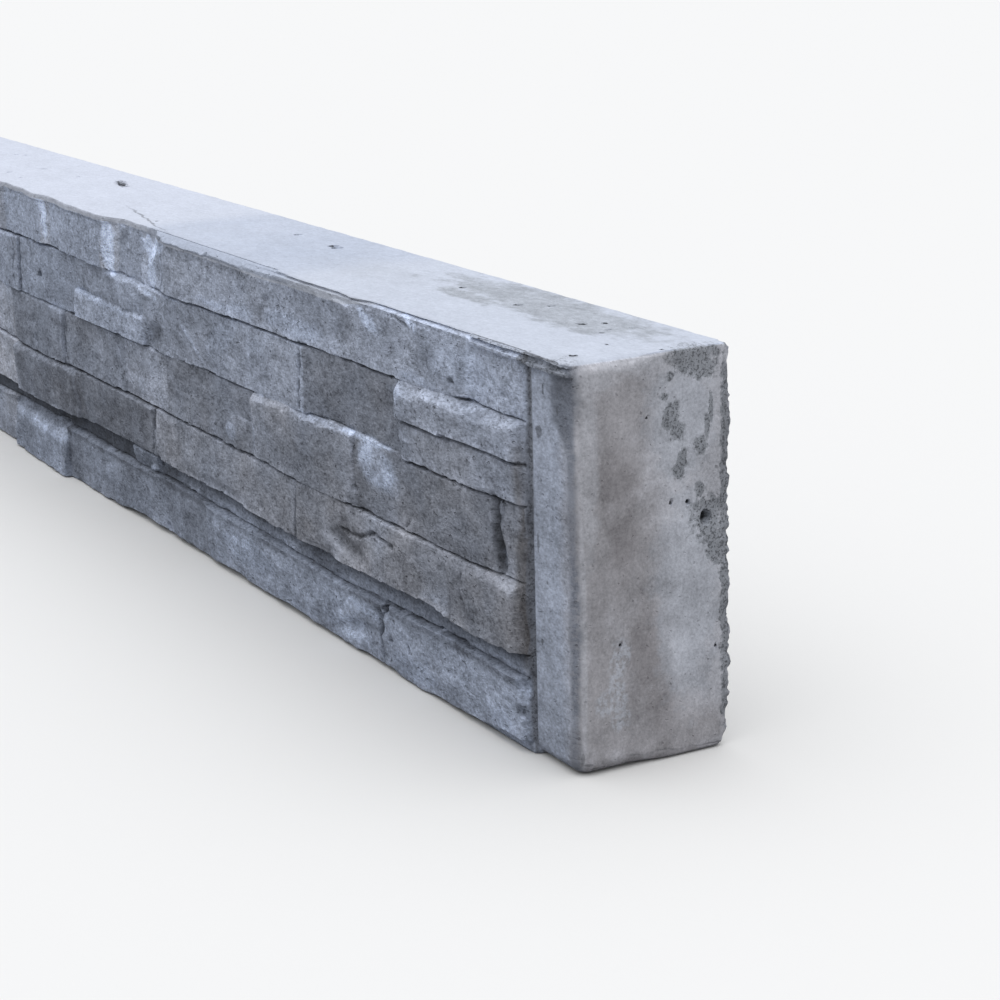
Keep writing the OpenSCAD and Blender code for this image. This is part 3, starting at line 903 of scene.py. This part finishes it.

# %% Blots of dry and damp paste, painted highlights and painted shade
# light blots on ledges, swells and stone returns are painted highlights, dark blots in hollows, the
# cleft and the recess are painted shade, and the rest are dry and damp paste
# along, height, half length, half height, lean, lightness added, ragged
FACE_BLOTS_AND_PAINTED_LIGHT = [
    (155, 112, 27, 15, 0, 0.75, 0.25), (160, 190, 17, 3.6, 24, 0.65, 0.7),
    (60, 180, 40, 12, 0, 0.12, 0.6), (190, 198, 7, 2.4, 0, 0.7, 0.8),
    (114, 196, 9, 2.2, 22, 0.9, 0.9), (68, 174, 4, 2.2, 20, -0.6, 1.3),
    (128, 158, 14, 3, 0, 0.3, 0.6), (60, 178, 2.5, 11, 0, -0.2, 0.6),
    (542, 180, 22, 9, 78, 0.85, 0.35), (540, 162, 13, 1.8, 0, 0.6, 0.3),
    (470, 178, 17, 9, 84, 0.65, 0.5), (465, 191, 25, 9, -8, 0.4, 0.4),
    (470, 158, 12, 1.4, 7, 0.4, 0.5), (674, 184, 20, 4, 80, 0.8, 0.3),
    (522, 190, 6, 9, 40, -0.35, 0.6), (212, 184, 50, 14, 0, -0.3, 0.35),
    (190, 66, 26, 10, 0, -0.24, 0.6), (326, 21, 46, 12, 0, 0.14, 0.5),
    (201, 23, 34, 10, 0, 0.08, 0.5), (164, 125, 34, 1.7, 0, 0.75, 0.3),
    (484, 191, 11, 8, 0, 0.3, 0.4), (435, 161, 18, 2, 0, 0.3, 0.6),
    (365, 168, 34, 2.4, 0, 0.25, 0.7), (300, 140, 14, 9, 0, -0.16, 0.8),
    (355, 150, 40, 9, -30, 0.1, 0.7), (255, 172, 40, 6, 0, 0.22, 0.8),
    (404, 137, 24, 2, 31, 0.25, 0.5), (555, 140, 62, 1.8, 2, 0.22, 0.5),
    (480, 134, 3, 12, 0, 0.15, 0.4), (468, 131, 18, 7, -25, -0.35, 0.4),
    (690, 140, 5, 3, 0, -0.4, 0.4), (330, 170, 25, 5, 0, 0.2, 0.8), (60, 60, 22, 8, 0, -0.14, 0.9),
    (190, 60, 28, 7, 10, -0.2, 0.6), (89, 57, 20, 2.5, -4, 0.25, 0.5),
    (270, 95, 20, 9, 0, -0.1, 0.9), (315, 104, 2, 18, 0, 0.3, 0.4), (348, 94, 10, 6, 0, 0.3, 0.5),
    (63, 37, 12, 3, 0, -0.4, 0.9), (0, 34, 8, 4, 30, 0.4, 0.5), (3, 22, 6, 4, 0, -0.4, 0.6),
    (151, 34.5, 4, 3, 0, -0.55, 0.4), (25, 12, 14, 7, 0, 0.12, 0.9), (120, 10, 30, 7, 0, 0.15, 0.8),
    (156.5, 26, 4.5, 8, -15, -0.35, 0.3), (176, 29, 20, 4, 3, 0.35, 0.4),
    (200, 12, 40, 7, 0, 0.12, 0.6), (123, 20, 4, 1.4, 50, -0.6, 0.2),
    (24.5, 105, 4.5, 20, 2, -0.35, 0.3), (12, 166, 22, 4, 0, -0.2, 0.4),
    (108, 168, 16, 3, 0, 0.25, 0.4), (136, 106, 12, 9, 0, 0.35, 0.4),
    (168, 118, 12, 8, 0, 0.35, 0.4), (30, 125, 30, 4, 0, -0.1, 0.6), (700, 27, 60, 3, 2, 0.55, 0.4),
    (640, 33, 30, 3, -25, 0.2, 0.4), (330, 47, 60, 5, 0, -0.2, 0.6), (240, 43, 6, 4, 0, -0.3, 0.3),
    (663, 40, 12, 3, 0, -0.4, 0.4), (640, 124, 40, 2.2, 0, 0.25, 0.4),
    (220, 124, 90, 2.2, 0, 0.25, 0.6), (485, 41, 12, 2, -12, 0.3, 0.6),
    (495, 94, 30, 7, 0, 0.12, 0.5), (420, 110, 24, 8, 0, -0.14, 0.8),
    (560, 65, 30, 12, 0, -0.1, 0.8),
]


def add_blots_and_painted_light(tone, side, z):
    """Multiplies the tone by 1 + share of each blot, painted highlight or painted shade, and gives
    the sum of the pale and lit shares.
    """
    pale_and_lit = np.zeros(len(z))
    for mark in FACE_BLOTS_AND_PAINTED_LIGHT:
        reach = 1.6 * max(mark[2], mark[3]) + 4
        near = (np.abs(side - mark[0]) < reach) & (np.abs(z - mark[1]) < reach)
        share = mark[5] * ease(0, 0.6, blot(side[near], z[near], mark))
        tone[near] += tone[near] * share
        pale_and_lit[near] += share.clip(0)
    return pale_and_lit


print(f"{len(FACE_BLOTS_AND_PAINTED_LIGHT)} blots on the stones")

# %% Shade of hollows and joints
BLUR = 4


def hollow_depth(x, z):
    """How far each point lies below its surroundings, as the mean relief over twice BLUR rows
    and stations less its own, and how deep it is in a joint or a crack, both in mm."""
    station = np.interp(-x, -body_x, np.arange(len(body_x))).round().astype(int)
    column = np.interp(z, front, np.arange(len(front))).round().astype(int)
    column = np.clip(column, 0, relief.shape[1] - 1)
    blurred = relief
    for axis in (0, 1):
        running = np.cumsum(blurred, axis=axis)
        blurred = (np.roll(running, -BLUR, axis) - np.roll(running, BLUR, axis)) / (2 * BLUR)
    return np.clip(blurred - relief, -2, 4)[station, column], groove[station, column]


# %% Colour of the stones
# how much darker the face gets: painted shade in a hollow for each mm and in a joint, partly a damp
# stain and partly painted shade in the corner strip beside the tongue, painted shade at the top of
# the lowest course under the recess, and painted shade under the lip
HOLLOW_SHADE, JOINT_SHADE, DAMP_SHADE, COURSE_SHADE, LIP_SHADE = 0.11, 0.50, 0.58, 0.45, 0.28
# how much lighter it gets: on the crusty lip, and, as painted light, where it faces up
CRUST_LIGHT, LEDGE_LIGHT = 0.75, 0.22
# how much painted light the foot of the deep recess gets: places along the face, and the share
RECESS_LIGHT = ([0, 50, 70, 105, 125, 195, 215, 245, 270, 440, 470],
                [1.2, 1.0, 0.3, 0.3, 1.35, 1.05, 0.3, 0.4, 1.2, 0.7, 0])


def face_colour(x, z, upward):
    """The paste of the face times its tone, and times the brown cast to the power of how brown
    a point is. The tone is that of the stone, with clouds, streaks, and blots of paste and painted
    light, and the painted shades and lights above."""
    side = FACE_START - x
    bent, risen = wander(side, z)
    row = find_stone(np.clip(bent, 0, FACE_LENGTH), risen)
    lightness, brown = stone_tones()
    clouds = 0.26 * fractal(x, z, 45, 4, 81) + 0.26 * fractal(x, 1.4 * z, 14, 4, 82)
    clouds *= 1 - 0.4 * ease(158, 168, risen)
    streaks = (0.07 + 0.10 * ease(380, 480, side)) * noise(x, z / 7, 7, 83) * ease(130, 90, z)
    tone = lightness[row] * (1 + clouds + streaks)
    pale_and_lit = add_blots_and_painted_light(tone, side, z)

    # painted shade in hollows, a little painted light on bumps, and painted shade in joints and
    # cracks
    hidden, in_groove = hollow_depth(x, z)
    shade = HOLLOW_SHADE * np.clip(hidden, -1.2, 4)
    tone *= 1 - shade - JOINT_SHADE * np.clip(in_groove / 1.6, 0, 1)
    # the strip beside the tongue: partly a damp brown stain, partly painted shade in the corner
    # where the stone ends turn back
    reach = 9 + 8 * ease(114, 100, z) * ease(82, 88, z) + 4 * noise(z, side, 15, 88)
    damp_and_corner_shade = ease(reach, 0.25 * reach - 1, side) * ease(36, 52, z) * ease(162, 145, z)
    tone *= 1 - DAMP_SHADE * damp_and_corner_shade
    # painted shade at the top of the lowest course, under the deep recess
    tone *= 1 - COURSE_SHADE * ease(31, 34.5, risen) * (risen < 38.2)
    # painted light at the foot of the deep recess
    in_recess = ease(47.5, 40, risen) * (risen > 38) * (risen < 49.2)
    tone *= 1 + in_recess * np.interp(side, *RECESS_LIGHT)
    crusty = ease(1.5, 5, z + 3 * noise(side, z, 12, 89) - HEIGHT + 6)
    crusty = crusty * ease(172, 178, side) * ease(465, 440, side)
    tone *= 1 + CRUST_LIGHT * crusty * (0.6 + 0.6 * noise(side, z, 4, 90))
    # painted light where the face turns up
    tone *= 1 + LEDGE_LIGHT * ease(0.35, 0.8, upward)
    # painted shade under the lip
    under_lip = ease(194.5, 192.8, z) * ease(189, 191, z)
    tone *= 1 - LIP_SHADE * under_lip * ease(290, 320, side) * ease(470, 450, side)

    cast = brown[row] * (0.8 + 0.6 * fractal(x, z, 30, 3, 84)) + 0.9 * damp_and_corner_shade - pale_and_lit
    cast = cast.clip(-0.1) - 0.7 * crusty
    return FACE_PASTE_SKY_TINTED * tone[:, None] * BROWN_CAST ** cast[:, None]


# %% Colour of the whole skin
def paint(piece):
    """Keeps a colour at each point, that of its side of the casting: stones, tongues, ends,
    back and underside fade into each other by place and direction. A second number on each
    point tells how rough the skin is, from 0 on the formed sides to 1 on stones and back."""
    x, y, z = read(piece.data.vertices, "co", 3).T / MM
    nx, ny, nz = read(piece.data.vertices, "normal", 3).T
    stones = ease(0.3, 0.9, FRONT_Y - y) * ease(FACE_START + 1, FACE_START - 1, np.abs(x))
    at_end = ease(0.45, 0.75, np.abs(nx)) * ease(END_X - 9, END_X - 5, np.abs(x))
    behind = ease(0.4, 0.8, ny) * (1 - at_end)
    under = ease(0.5, 0.9, -nz) * ease(6, 3, z)
    upward = ease(0.5, 0.85, nz) * ease(HEIGHT - 3.5, HEIGHT - 2, z)

    colour = TONGUE_PASTE_SKY_TINTED * (1 + 0.10 * fractal(x, z, 25, 4, 85))[:, None]
    struck = BACK_PASTE * (1 + 0.2 * fractal(x, z, 50, 4, 87))[:, None]
    for share, paste in ((stones, face_colour(x, z, nz)), (at_end, END_PASTE),
                         (behind, struck), (under, BACK_PASTE * 0.85)):
        colour = colour + (paste - colour) * share[:, None]

    mesh = piece.data
    mesh.color_attributes.new("paste", "FLOAT_COLOR", "POINT")
    whole = np.concatenate([colour, np.ones((len(x), 1))], axis=1)
    mesh.color_attributes["paste"].data.foreach_set("color", whole.astype(np.float32).ravel())
    mesh.attributes.new("coarse_skin", "FLOAT", "POINT")
    coarse = np.clip(np.maximum(stones, behind), 0, 1) * (1 - upward)
    mesh.attributes["coarse_skin"].data.foreach_set("value", coarse.astype(np.float32))
    return colour


shades = paint(sleeper)
print("paste from", shades.min(axis=0).round(2), "to", shades.max(axis=0).round(2))

# %% [markdown]
# ## Writing the finish
#
# A shader is a sum like any other. The small class below wraps one socket of a node, so that an
# expression such as `1 - mask * 0.3` adds the Math nodes by itself. One method makes every
# other kind of node.

# %% Shader terms
class Term:
    """A socket in an expression. Adding to it, subtracting, multiplying or taking a power gives
    the Math node's output as a new term. The larger of two terms is most, the smaller least."""

    def __init__(self, tree, socket=None):
        self.tree, self.socket = tree, socket

    def node(self, kind, settings=None, inputs=None, out=0):
        """Any node: its settings are set first, then each input gets a value or a link."""
        made = self.tree.nodes.new(kind)
        for name, value in (settings or {}).items():
            setattr(made, name, value)
        for name, value in (inputs or {}).items():
            if isinstance(value, Term):
                self.tree.links.new(value.socket, made.inputs[name])
            else:
                made.inputs[name].default_value = value
        return Term(self.tree, made.outputs[out])

    def math(self, operation, *values):
        return self.node("ShaderNodeMath", {"operation": operation}, dict(enumerate(values)))

    def __add__(self, other):
        return self.math("ADD", self, other)

    def __sub__(self, other):
        return self.math("SUBTRACT", self, other)

    def __rsub__(self, other):
        return self.math("SUBTRACT", other, self)

    def __mul__(self, other):
        return self.math("MULTIPLY", self, other)

    def __pow__(self, other):
        return self.math("POWER", self, other)

    def __abs__(self):
        return self.math("ABSOLUTE", self)

    __radd__, __rmul__ = __add__, __mul__

    def most(self, other):
        return self.math("MAXIMUM", self, other)

    def least(self, other):
        return self.math("MINIMUM", self, other)

    def step(self, low, high):
        """0 at low, 1 at high, smooth between. Low may be the larger of the two."""
        return self.node("ShaderNodeMapRange", {"interpolation_type": "SMOOTHSTEP"},
                         {0: self, 1: low, 2: high, 3: 0.0, 4: 1.0})

    def vector(self, operation, values, out=0):
        return self.node("ShaderNodeVectorMath", {"operation": operation}, values, out)

    def noise(self, per_metre, detail=4.0, roughness=0.5, distortion=0.0):
        return self.node("ShaderNodeTexNoise", {}, {
            "Vector": self, "Scale": per_metre, "Detail": detail, "Roughness": roughness,
            "Distortion": distortion})

    def from_oval(self, centre, size):
        """The distance from the middle of an oval, 1 on its rim: the length of place / size -
        centre / size."""
        scaled = self.vector("MULTIPLY_ADD", {0: self, 1: tuple(1 / s for s in size),
                                              2: tuple(-c / s for c, s in zip(centre, size))})
        return scaled.vector("LENGTH", {0: scaled}, out=1)

    def band(self, centre, half, ragged=0.0, soft=0.2):
        """1 within half of a centre and 0 beyond, for one coordinate."""
        return (abs(self - centre) * (1 / half) + ragged).step(1 + soft, 1 - soft)

    def mix(self, first, second):
        """Mixes two colours by this term."""
        return self.node("ShaderNodeMix", {"data_type": "RGBA"},
                         {0: self, 6: first, 7: second}, out=2)


# %% [markdown]
# ## The concrete
#
# The shader takes the paste colour of the skin and adds what is finer than the mesh: sand
# grains, tiny air pores and the cloudiness of the paste. The marks on the flat ends and the
# top are written here too, because a flat face has too few points to hold them: brown water
# stains, pale scuffs, and places where the paste stayed behind on the form and the sand shows.
# Some painted shade is laid on as well: air holes painted nearly black, and a darker band on the
# broken top arris, tinted blue for the sky light.

# %% Concrete: places and grain
# heights where the colour and the bump of the top begin and are full; a crack begins lower
TOP_STEP = (HEIGHT - 1.8, HEIGHT - 1.2)
CRACK_STEP = (HEIGHT - 2.0, HEIGHT - 1.2)
# the cement lip has its widest piece between this place and the end
LIP_PIECE = FACE_START - 52

concrete = bpy.data.materials.new("cast_concrete")
concrete.use_nodes = True
tree = concrete.node_tree
shader = tree.nodes["Principled BSDF"]
start = Term(tree)
place = start.node("ShaderNodeTexCoord", out=3)
apart = start.node("ShaderNodeSeparateXYZ", {}, {0: place})
x_mm, y_mm, z_mm = (Term(tree, apart.socket.node.outputs[k]) * 1000 for k in range(3))
paste = start.node("ShaderNodeAttribute", {"attribute_name": "paste"})
coarse = start.node("ShaderNodeAttribute", {"attribute_name": "coarse_skin"}, out=2)
laid = place.vector("MULTIPLY", {0: place, 1: (0.6, 1.0, 1.0)})
clouds = laid.noise(30, 4, 0.62)
mottle = laid.noise(95, 5, 0.66)
grit = laid.noise(300, 3, 0.7)
sand = laid.noise(700, 2, 0.7)
pores = laid.noise(380, 1, 0.4).step(0.69, 0.76)
pits = laid.noise(800, 2, 0.6).step(0.66, 0.76)
pale = laid.noise(240, 2, 0.6).step(0.60, 0.74)
ragged = (mottle - 0.5) * 2.2
flat_end = abs(x_mm).step(END_X - 2.5, END_X - 1.2)
grain = (mottle - 0.5) * 0.9 + (grit - 0.5) * 1.3 + (sand - 0.5) * 1.5
grain = grain * (1 - flat_end * 0.42) + (clouds - 0.5) * (0.75 + flat_end * 0.7)
print(f"places and grain: {len(tree.nodes)} nodes")


# %% Concrete: ovals
def ovals(marks, side, shaken, soft=0.13):
    """1 inside any of the ovals given as (y, z, half width, half height) in mm on the end, or
    as (x, y, half length, half width) on the top, or as (x, z, half length, half height) on the
    tongue, deep enough the other way to reach the surface. The smallest distance counts; it is
    shaken by a term, and soft is how wide the rim is."""
    nearest = None
    for a, b, half_a, half_b in marks:
        centre, size = {
            "end": ((1.0, a * MM, b * MM), (0.012, half_a * MM, half_b * MM)),
            "top": ((a * MM, b * MM, 0.2), (half_a * MM, half_b * MM, 0.012)),
            "tongue": ((a * MM, FRONT_Y * MM, b * MM), (half_a * MM, 0.006, half_b * MM)),
        }[side]
        away = place.from_oval(centre, size)
        nearest = away if nearest is None else nearest.least(away)
    return (nearest + shaken).step(1 + soft, 1 - soft)


# %% Concrete: water stains and scuffs on the end
stains = ovals([(-9, 175, 17, 17), (-11, 150, 15, 26), (-7, 108, 17, 36), (5, 62, 14, 32),
                (2, 24, 30, 20), (-22, 120, 8, 60), (-19, 38, 13, 36), (18, 11, 34, 12)],
               "end", ragged * 0.7, 0.45)
warm = ovals([(-19, 90, 30, 135), (20, 14, 34, 13)], "end", ragged * 0.5, 0.55)
deep_stains = ovals([(-13, 142, 9, 15), (-9, 112, 8, 16), (3, 55, 11, 24), (11, 40, 9, 26)],
                    "end", ragged * 0.9, 0.6)
paler = ovals([(27, 82, 18, 52), (24, 166, 18, 26)], "end", ragged * 0.8, 0.3)
rim_light = ovals([(-26.5, 152, 5, 44), (-30.5, 72, 1.6, 66), (-25, 190, 14, 5),
                   (5, 196, 30, 3)], "end", ragged * 0.9, 0.3)
scuffs = ovals([(-13, 42, 5, 20), (-9, 60, 4, 6), (-18, 34, 6, 6), (-12, 27, 5, 6)],
               "end", ragged * 1.3, 0.3)
print(f"stains and scuffs: {len(tree.nodes)} nodes")

# %% Concrete: sandy patches, holes and cracks of the end
sandy = ovals([(31, 196, 14, 7.5), (36, 190, 8, 5), (18, 188, 2.2, 2.4), (14.5, 178.5, 2.4, 2),
               (18, 169, 4.2, 6.5), (22, 162, 4, 4.5), (24.5, 149, 2.6, 4.5), (22.5, 143, 3, 4),
               (40.5, 170, 1.3, 7), (38.3, 161, 1.6, 6), (35, 153, 3.8, 5),
               (34, 131.5, 2.6, 4), (39, 117, 9, 12), (43, 101, 5, 8), (49, 105, 3.2, 102)],
              "end", ragged * 0.9 + (grit - 0.5) * 1.6, 0.25)
holes = ovals([(a, b, r * 0.8, r * 0.8) for a, b, r, deep in END_HOLES if deep > 1],
              "end", ragged * 0.2)
end_chips = ovals([(-31, 9.5, 0.7, 2.5), (-28, 6, 2, 0.7), (-23, 3.2, 4, 0.6)],
                  "end", ragged * 0.8)
# a fine crack along the foot of the end, which breaks off in the pale clouds
end_crack = (z_mm + y_mm * 0.06 - 5.9 + (mottle - 0.5) * 6).band(0.0, 0.40, 0.0, 0.6)
end_crack = end_crack * y_mm.step(-8, -2) * flat_end * (1 - 0.6 * clouds.step(0.45, 0.60))
print(f"patches and cracks: {len(tree.nodes)} nodes")

# %% Concrete: the top
# the pale skin of the top reaches down over the front arris: most of all near x 640, and a
# little beyond x 500. On the lip it stops at the front
in_front = y_mm.step(FRONT_Y - 1.9, FRONT_Y - 1.3)
reach_near = (5.2 + ragged * 1.3) * x_mm.band(640, 145)
reach_far = (2.6 + ragged * 1.5) * x_mm.step(520, 490)
white = (z_mm + (reach_near + reach_far)).step(*TOP_STEP) * x_mm.step(END_X - 2, END_X - 2.6)
white = white * in_front.most(x_mm.step(LIP_PIECE, LIP_PIECE - 4))
# painted shade on the broken bevel under the top front arris; where the white skin reaches it, it
# is also tinted blue as painted sky light
bevel_shade = z_mm.band(197, 2.6, 0, 0.3) * x_mm.band(590, 110)
top_holes = ovals([(a, b, r * 1.1, r * 0.9) for a, b, r, _ in LISTED_HOLES], "top", ragged * 0.2)
dull = ovals([(690, 8, 74, 17)], "top", ragged * 0.7, 0.6)
bare = ovals([(868, 31, 96, 20), (915, 19, 40, 13), (815, 12, 32, 7)],
             "top", ragged * 1.1, 0.35)
far_bare = ovals([(-180, 20, 60, 20), (-420, 30, 130, 14), (-760, 5, 60, 22)], "top", ragged)
slant_y = y_mm + (x_mm - 400) * 0.17 + (mottle - 0.5) * 10
top_crack = slant_y.band(-16, 0.7, ragged * 0.4, 0.5) * x_mm.band(446, 52, 0, 0.5) * 0.6
top_crack = top_crack * z_mm.step(*CRACK_STEP)
lip_crack = y_mm.band(FRONT_Y - 1.4, 0.5, ragged * 0.9) * z_mm.step(*CRACK_STEP)
lip_crack = lip_crack * x_mm.step(LIP_PIECE, LIP_PIECE + 4)
print(f"top: {len(tree.nodes)} nodes")

# %% Concrete: the tongue and the lip
specks = ovals([(969, 163, 2.0, 2.6), (985.8, 175.5, 1.0, 1.8), (973, 184, 0.8, 2),
                (970, 140, 0.8, 1.2), (981, 89, 1.0, 1.6), (974, 91, 0.8, 1.2),
                (966, 109, 1, 4), (968, 60, 0.8, 1.2)], "tongue", ragged * 2.2)
seam = (x_mm + z_mm.step(150, 90) * 1.0).band(FACE_START + 1.6, 1.2, ragged * 0.6, 0.7)
seam = seam * y_mm.step(FRONT_Y + 2, FRONT_Y)
on_tongue = x_mm.step(FACE_START + 0.5, FACE_START + 2.5) * y_mm.step(FRONT_Y + 4, FRONT_Y + 2)
tongue_light = z_mm.band(165, 22, 0, 0.5) * 0.16 - z_mm.band(119, 8, 0, 0.5) * 0.14
tongue_light = tongue_light + z_mm.band(78, 14, 0, 0.5) * 0.12 - z_mm.step(36, 24) * 0.12
tongue_light = tongue_light * on_tongue
lip_grey = z_mm.step(192.5, 194) * y_mm.step(FRONT_Y - 0.3, FRONT_Y - 1.1)
lip_grey = lip_grey * x_mm.step(LIP_PIECE - 2, LIP_PIECE + 3)
lip_grey = lip_grey * z_mm.step(198, 198.6).most(x_mm.step(FACE_START - 3, FACE_START - 1))
print(f"tongue and lip: {len(tree.nodes)} nodes")

# %% Concrete: the dark arris of the end
# a dark band is laid on the front arris of the end: wide at the top, narrow and grainy lower down
past_arris = (END_X - x_mm) - (y_mm - FRONT_Y)
high = z_mm.step(156, 174)
lower = z_mm.band(75, 24, 0, 0.4)
across = (past_arris - 3.0 + lower * 0.9 - high * 6.5) * (1 - high * 0.66 - lower * 0.15)
grainy = high + (1 - high) * (grit.step(0.38, 0.56) * 0.6 + 0.4)
arris = across.band(0.0, 3.4, ragged * 0.7, 0.65) * grainy
arris = arris * (1 - 0.35 * z_mm.band(128, 20, 0, 0.4)) * (1 - 0.4 * z_mm.step(34, 26))
arris = arris * y_mm.step(FRONT_Y + 14, FRONT_Y + 9) * x_mm.step(END_X - 24, END_X - 18)
print(f"arris: {len(tree.nodes)} nodes")


# %% Concrete: the marks laid over the paste
def lay_over(base, layers):
    """Mixes one colour after the other over a base, each by its own cover."""
    for cover, colour in layers:
        base = cover.mix(base, colour)
    return base


# the blue of the top paste is partly painted sky light
NEAR_TOP, FAR_TOP = (0.550, 0.580, 0.645, 1), (0.620, 0.645, 0.715, 1)
BARE_TOP, BARE_FAR_TOP = (0.425, 0.447, 0.480, 1), (0.42, 0.432, 0.455, 1)
top_paste_sky_tinted = lay_over(x_mm.step(900, 200).mix(NEAR_TOP, FAR_TOP), [
    (dull * 0.25, BARE_TOP), (bare * 0.80, BARE_TOP), (far_bare * 0.5, BARE_FAR_TOP)])
stained = lay_over(paste, [
    (warm * 0.55, (0.500, 0.478, 0.490, 1)),
    (stains * 0.8, (0.455, 0.436, 0.444, 1)),
    (deep_stains * stains * 0.85, (0.345, 0.325, 0.330, 1)),
    (paler * 0.55, (0.62, 0.645, 0.70, 1)),
    (rim_light * 0.6, (0.62, 0.62, 0.65, 1)),
    (scuffs * 0.7 * grit.step(0.40, 0.56), (0.60, 0.62, 0.67, 1)),
    (sandy * 0.8, (0.365, 0.380, 0.405, 1)),
    (end_chips.most(end_crack) * 0.65, (0.22, 0.22, 0.23, 1)),
    (arris * (0.80 + high * 0.12), (0.225, 0.243, 0.285, 1)),
    (lip_grey * 0.7, (0.34, 0.36, 0.40, 1)),
    (seam * 0.65, (0.13, 0.13, 0.135, 1)),
    (specks * 0.7, (0.14, 0.15, 0.17, 1)),
    (white, top_paste_sky_tinted),
    # painted shade on the bevel, in a blue that stands for sky light
    (white * bevel_shade * 0.8, (0.53, 0.585, 0.70, 1)),
    (top_crack + lip_crack * 0.7, (0.12, 0.125, 0.14, 1)),
    # air holes painted nearly black: painted shade inside them
    (holes.most(top_holes) * 0.9, (0.035, 0.035, 0.038, 1))])

# %% Concrete: grain over the colour
plain = white * (1 - bare * 0.7)
gain = 1 + grain * (0.85 + 0.25 * coarse) * (1 - plain * 0.72)
pitted = (pores * 0.24 + pits * 0.14) * (1 - plain * 0.8)
gain = gain + tongue_light - bevel_shade * 0.16 + pale * 0.16 * coarse - pitted
rough_spots = (sandy + bare * white * 0.4 + arris * 0.6 + lip_grey + seam).least(1.0)
speckle = 1 - rough_spots * (sand.step(0.47, 0.60) * 0.62 + pores * 0.2)
toned = start.vector("SCALE", {"Vector": stained, "Scale": gain * speckle})
tree.links.new(toned.socket, shader.inputs["Base Color"])

# %% Concrete: relief finer than the mesh
GRAIN_HEIGHT = 0.0015
fine_relief = grit * 0.55 + sand * 0.35 - pores * 0.8 - pits * 0.35 + mottle * 0.6
smoothed = 0.40 + 0.60 * coarse - z_mm.step(*TOP_STEP) * 0.3 - flat_end * 0.18
bump = start.node("ShaderNodeBump", {}, {"Strength": 1.0, "Distance": GRAIN_HEIGHT,
                                         "Height": fine_relief * smoothed})
tree.links.new(bump.socket, shader.inputs["Normal"])
roughness = 0.80 + grit * 0.16
tree.links.new(roughness.socket, shader.inputs["Roughness"])
shader.inputs["Specular IOR Level"].default_value = 0.35
sleeper.data.materials.clear()
sleeper.data.materials.append(concrete)
print(f"concrete of {len(tree.nodes)} nodes")

# %% [markdown]
# ## Floor, light and camera
#
# The light is an overcast sky: brightest overhead and pale all round, so that ledges are bright
# and the undersides of the stones are dark, with no hard shadow. The floor is plain and nearly
# white to the camera, and less so to the light that it throws back on the stones.

# %% Floor
FLOOR_HALF = 16.0
# what the floor throws back on the stones, and what the camera sees of it
FLOOR_THROWN, FLOOR_SEEN = (0.30, 0.30, 0.30, 1), (0.83, 0.81, 0.77, 1)
floor_mesh = bpy.data.meshes.new("studio_floor")
floor_corners = [(-1, -1), (1, -1), (1, 1), (-1, 1)]
floor_mesh.from_pydata(
    [(FLOOR_HALF * a, FLOOR_HALF * b, low_corner[2]) for a, b in floor_corners], [], [(0, 1, 2, 3)])
floor = bpy.data.objects.new("studio_floor", floor_mesh)
bpy.context.scene.collection.objects.link(floor)
plain_floor = bpy.data.materials.new("studio_floor")
plain_floor.use_nodes = True
floor_term = Term(plain_floor.node_tree)
by_camera = floor_term.node("ShaderNodeLightPath")
floor_shader = plain_floor.node_tree.nodes["Principled BSDF"]
floor_colour = by_camera.mix(FLOOR_THROWN, FLOOR_SEEN)
plain_floor.node_tree.links.new(floor_colour.socket, floor_shader.inputs["Base Color"])
floor_shader.inputs["Roughness"].default_value = 1.0
floor_shader.inputs["Specular IOR Level"].default_value = 0.0
floor_mesh.materials.append(plain_floor)
print(f"floor {2 * FLOOR_HALF:.0f} m square")

# %% Overcast sky
# the strength of the sky at the horizon, and how much is added towards straight up
HORIZON, OVERHEAD = 0.18, 2.0
SKY_TINT, SEEN_TINT = (0.95, 0.98, 1.04, 1), (1, 1, 1, 1)
world = bpy.data.worlds.new("overcast")
bpy.context.scene.world = world
world.use_nodes = True
sky_shader = world.node_tree.nodes["Background"]
sky = Term(world.node_tree)
towards = sky.node("ShaderNodeTexCoord", out=0)
rise = sky.node("ShaderNodeSeparateXYZ", {}, {0: towards}, out=2)
glow = HORIZON + OVERHEAD * rise.most(0.0)**2
camera_ray = sky.node("ShaderNodeLightPath", out=0)
glossy_ray = sky.node("ShaderNodeLightPath", out=3)
direct = camera_ray.most(glossy_ray)
strength = glow + direct * (1 - glow)
tint = direct.mix(SKY_TINT, SEEN_TINT)
world.node_tree.links.new(strength.socket, sky_shader.inputs["Strength"])
world.node_tree.links.new(tint.socket, sky_shader.inputs["Color"])
print(f"sky of {len(world.node_tree.nodes)} nodes")

# %% Camera
YAW, PITCH, ROLL = (math.radians(a) for a in (61.07, 15.23, -1.47))
CAMERA_PLACE = (1.8935, -0.5671, 0.4210)
LENS, FILM_WIDTH = 85.16, 36
NEAREST, FARTHEST = 0.05, 100
camera = bpy.data.objects.new("camera", bpy.data.cameras.new("camera"))
camera.data.lens, camera.data.sensor_width = LENS, FILM_WIDTH
camera.data.clip_start, camera.data.clip_end = NEAREST, FARTHEST
bpy.context.scene.collection.objects.link(camera)
ahead = np.array([-math.sin(YAW) * math.cos(PITCH), math.cos(YAW) * math.cos(PITCH),
                  -math.sin(PITCH)])
level = np.array([math.cos(YAW), math.sin(YAW), 0])
above = np.cross(level, ahead)
right = math.cos(ROLL) * level + math.sin(ROLL) * above
above = math.cos(ROLL) * above - math.sin(ROLL) * level
camera.matrix_world = Matrix([
    (right[k], above[k], -ahead[k], CAMERA_PLACE[k]) for k in range(3)] + [(0, 0, 0, 1)])
bpy.context.scene.camera = camera
bpy.context.scene.view_settings.view_transform = "Standard"
print(f"camera {math.hypot(*CAMERA_PLACE):.2f} m from the middle of the sleeper's foot")
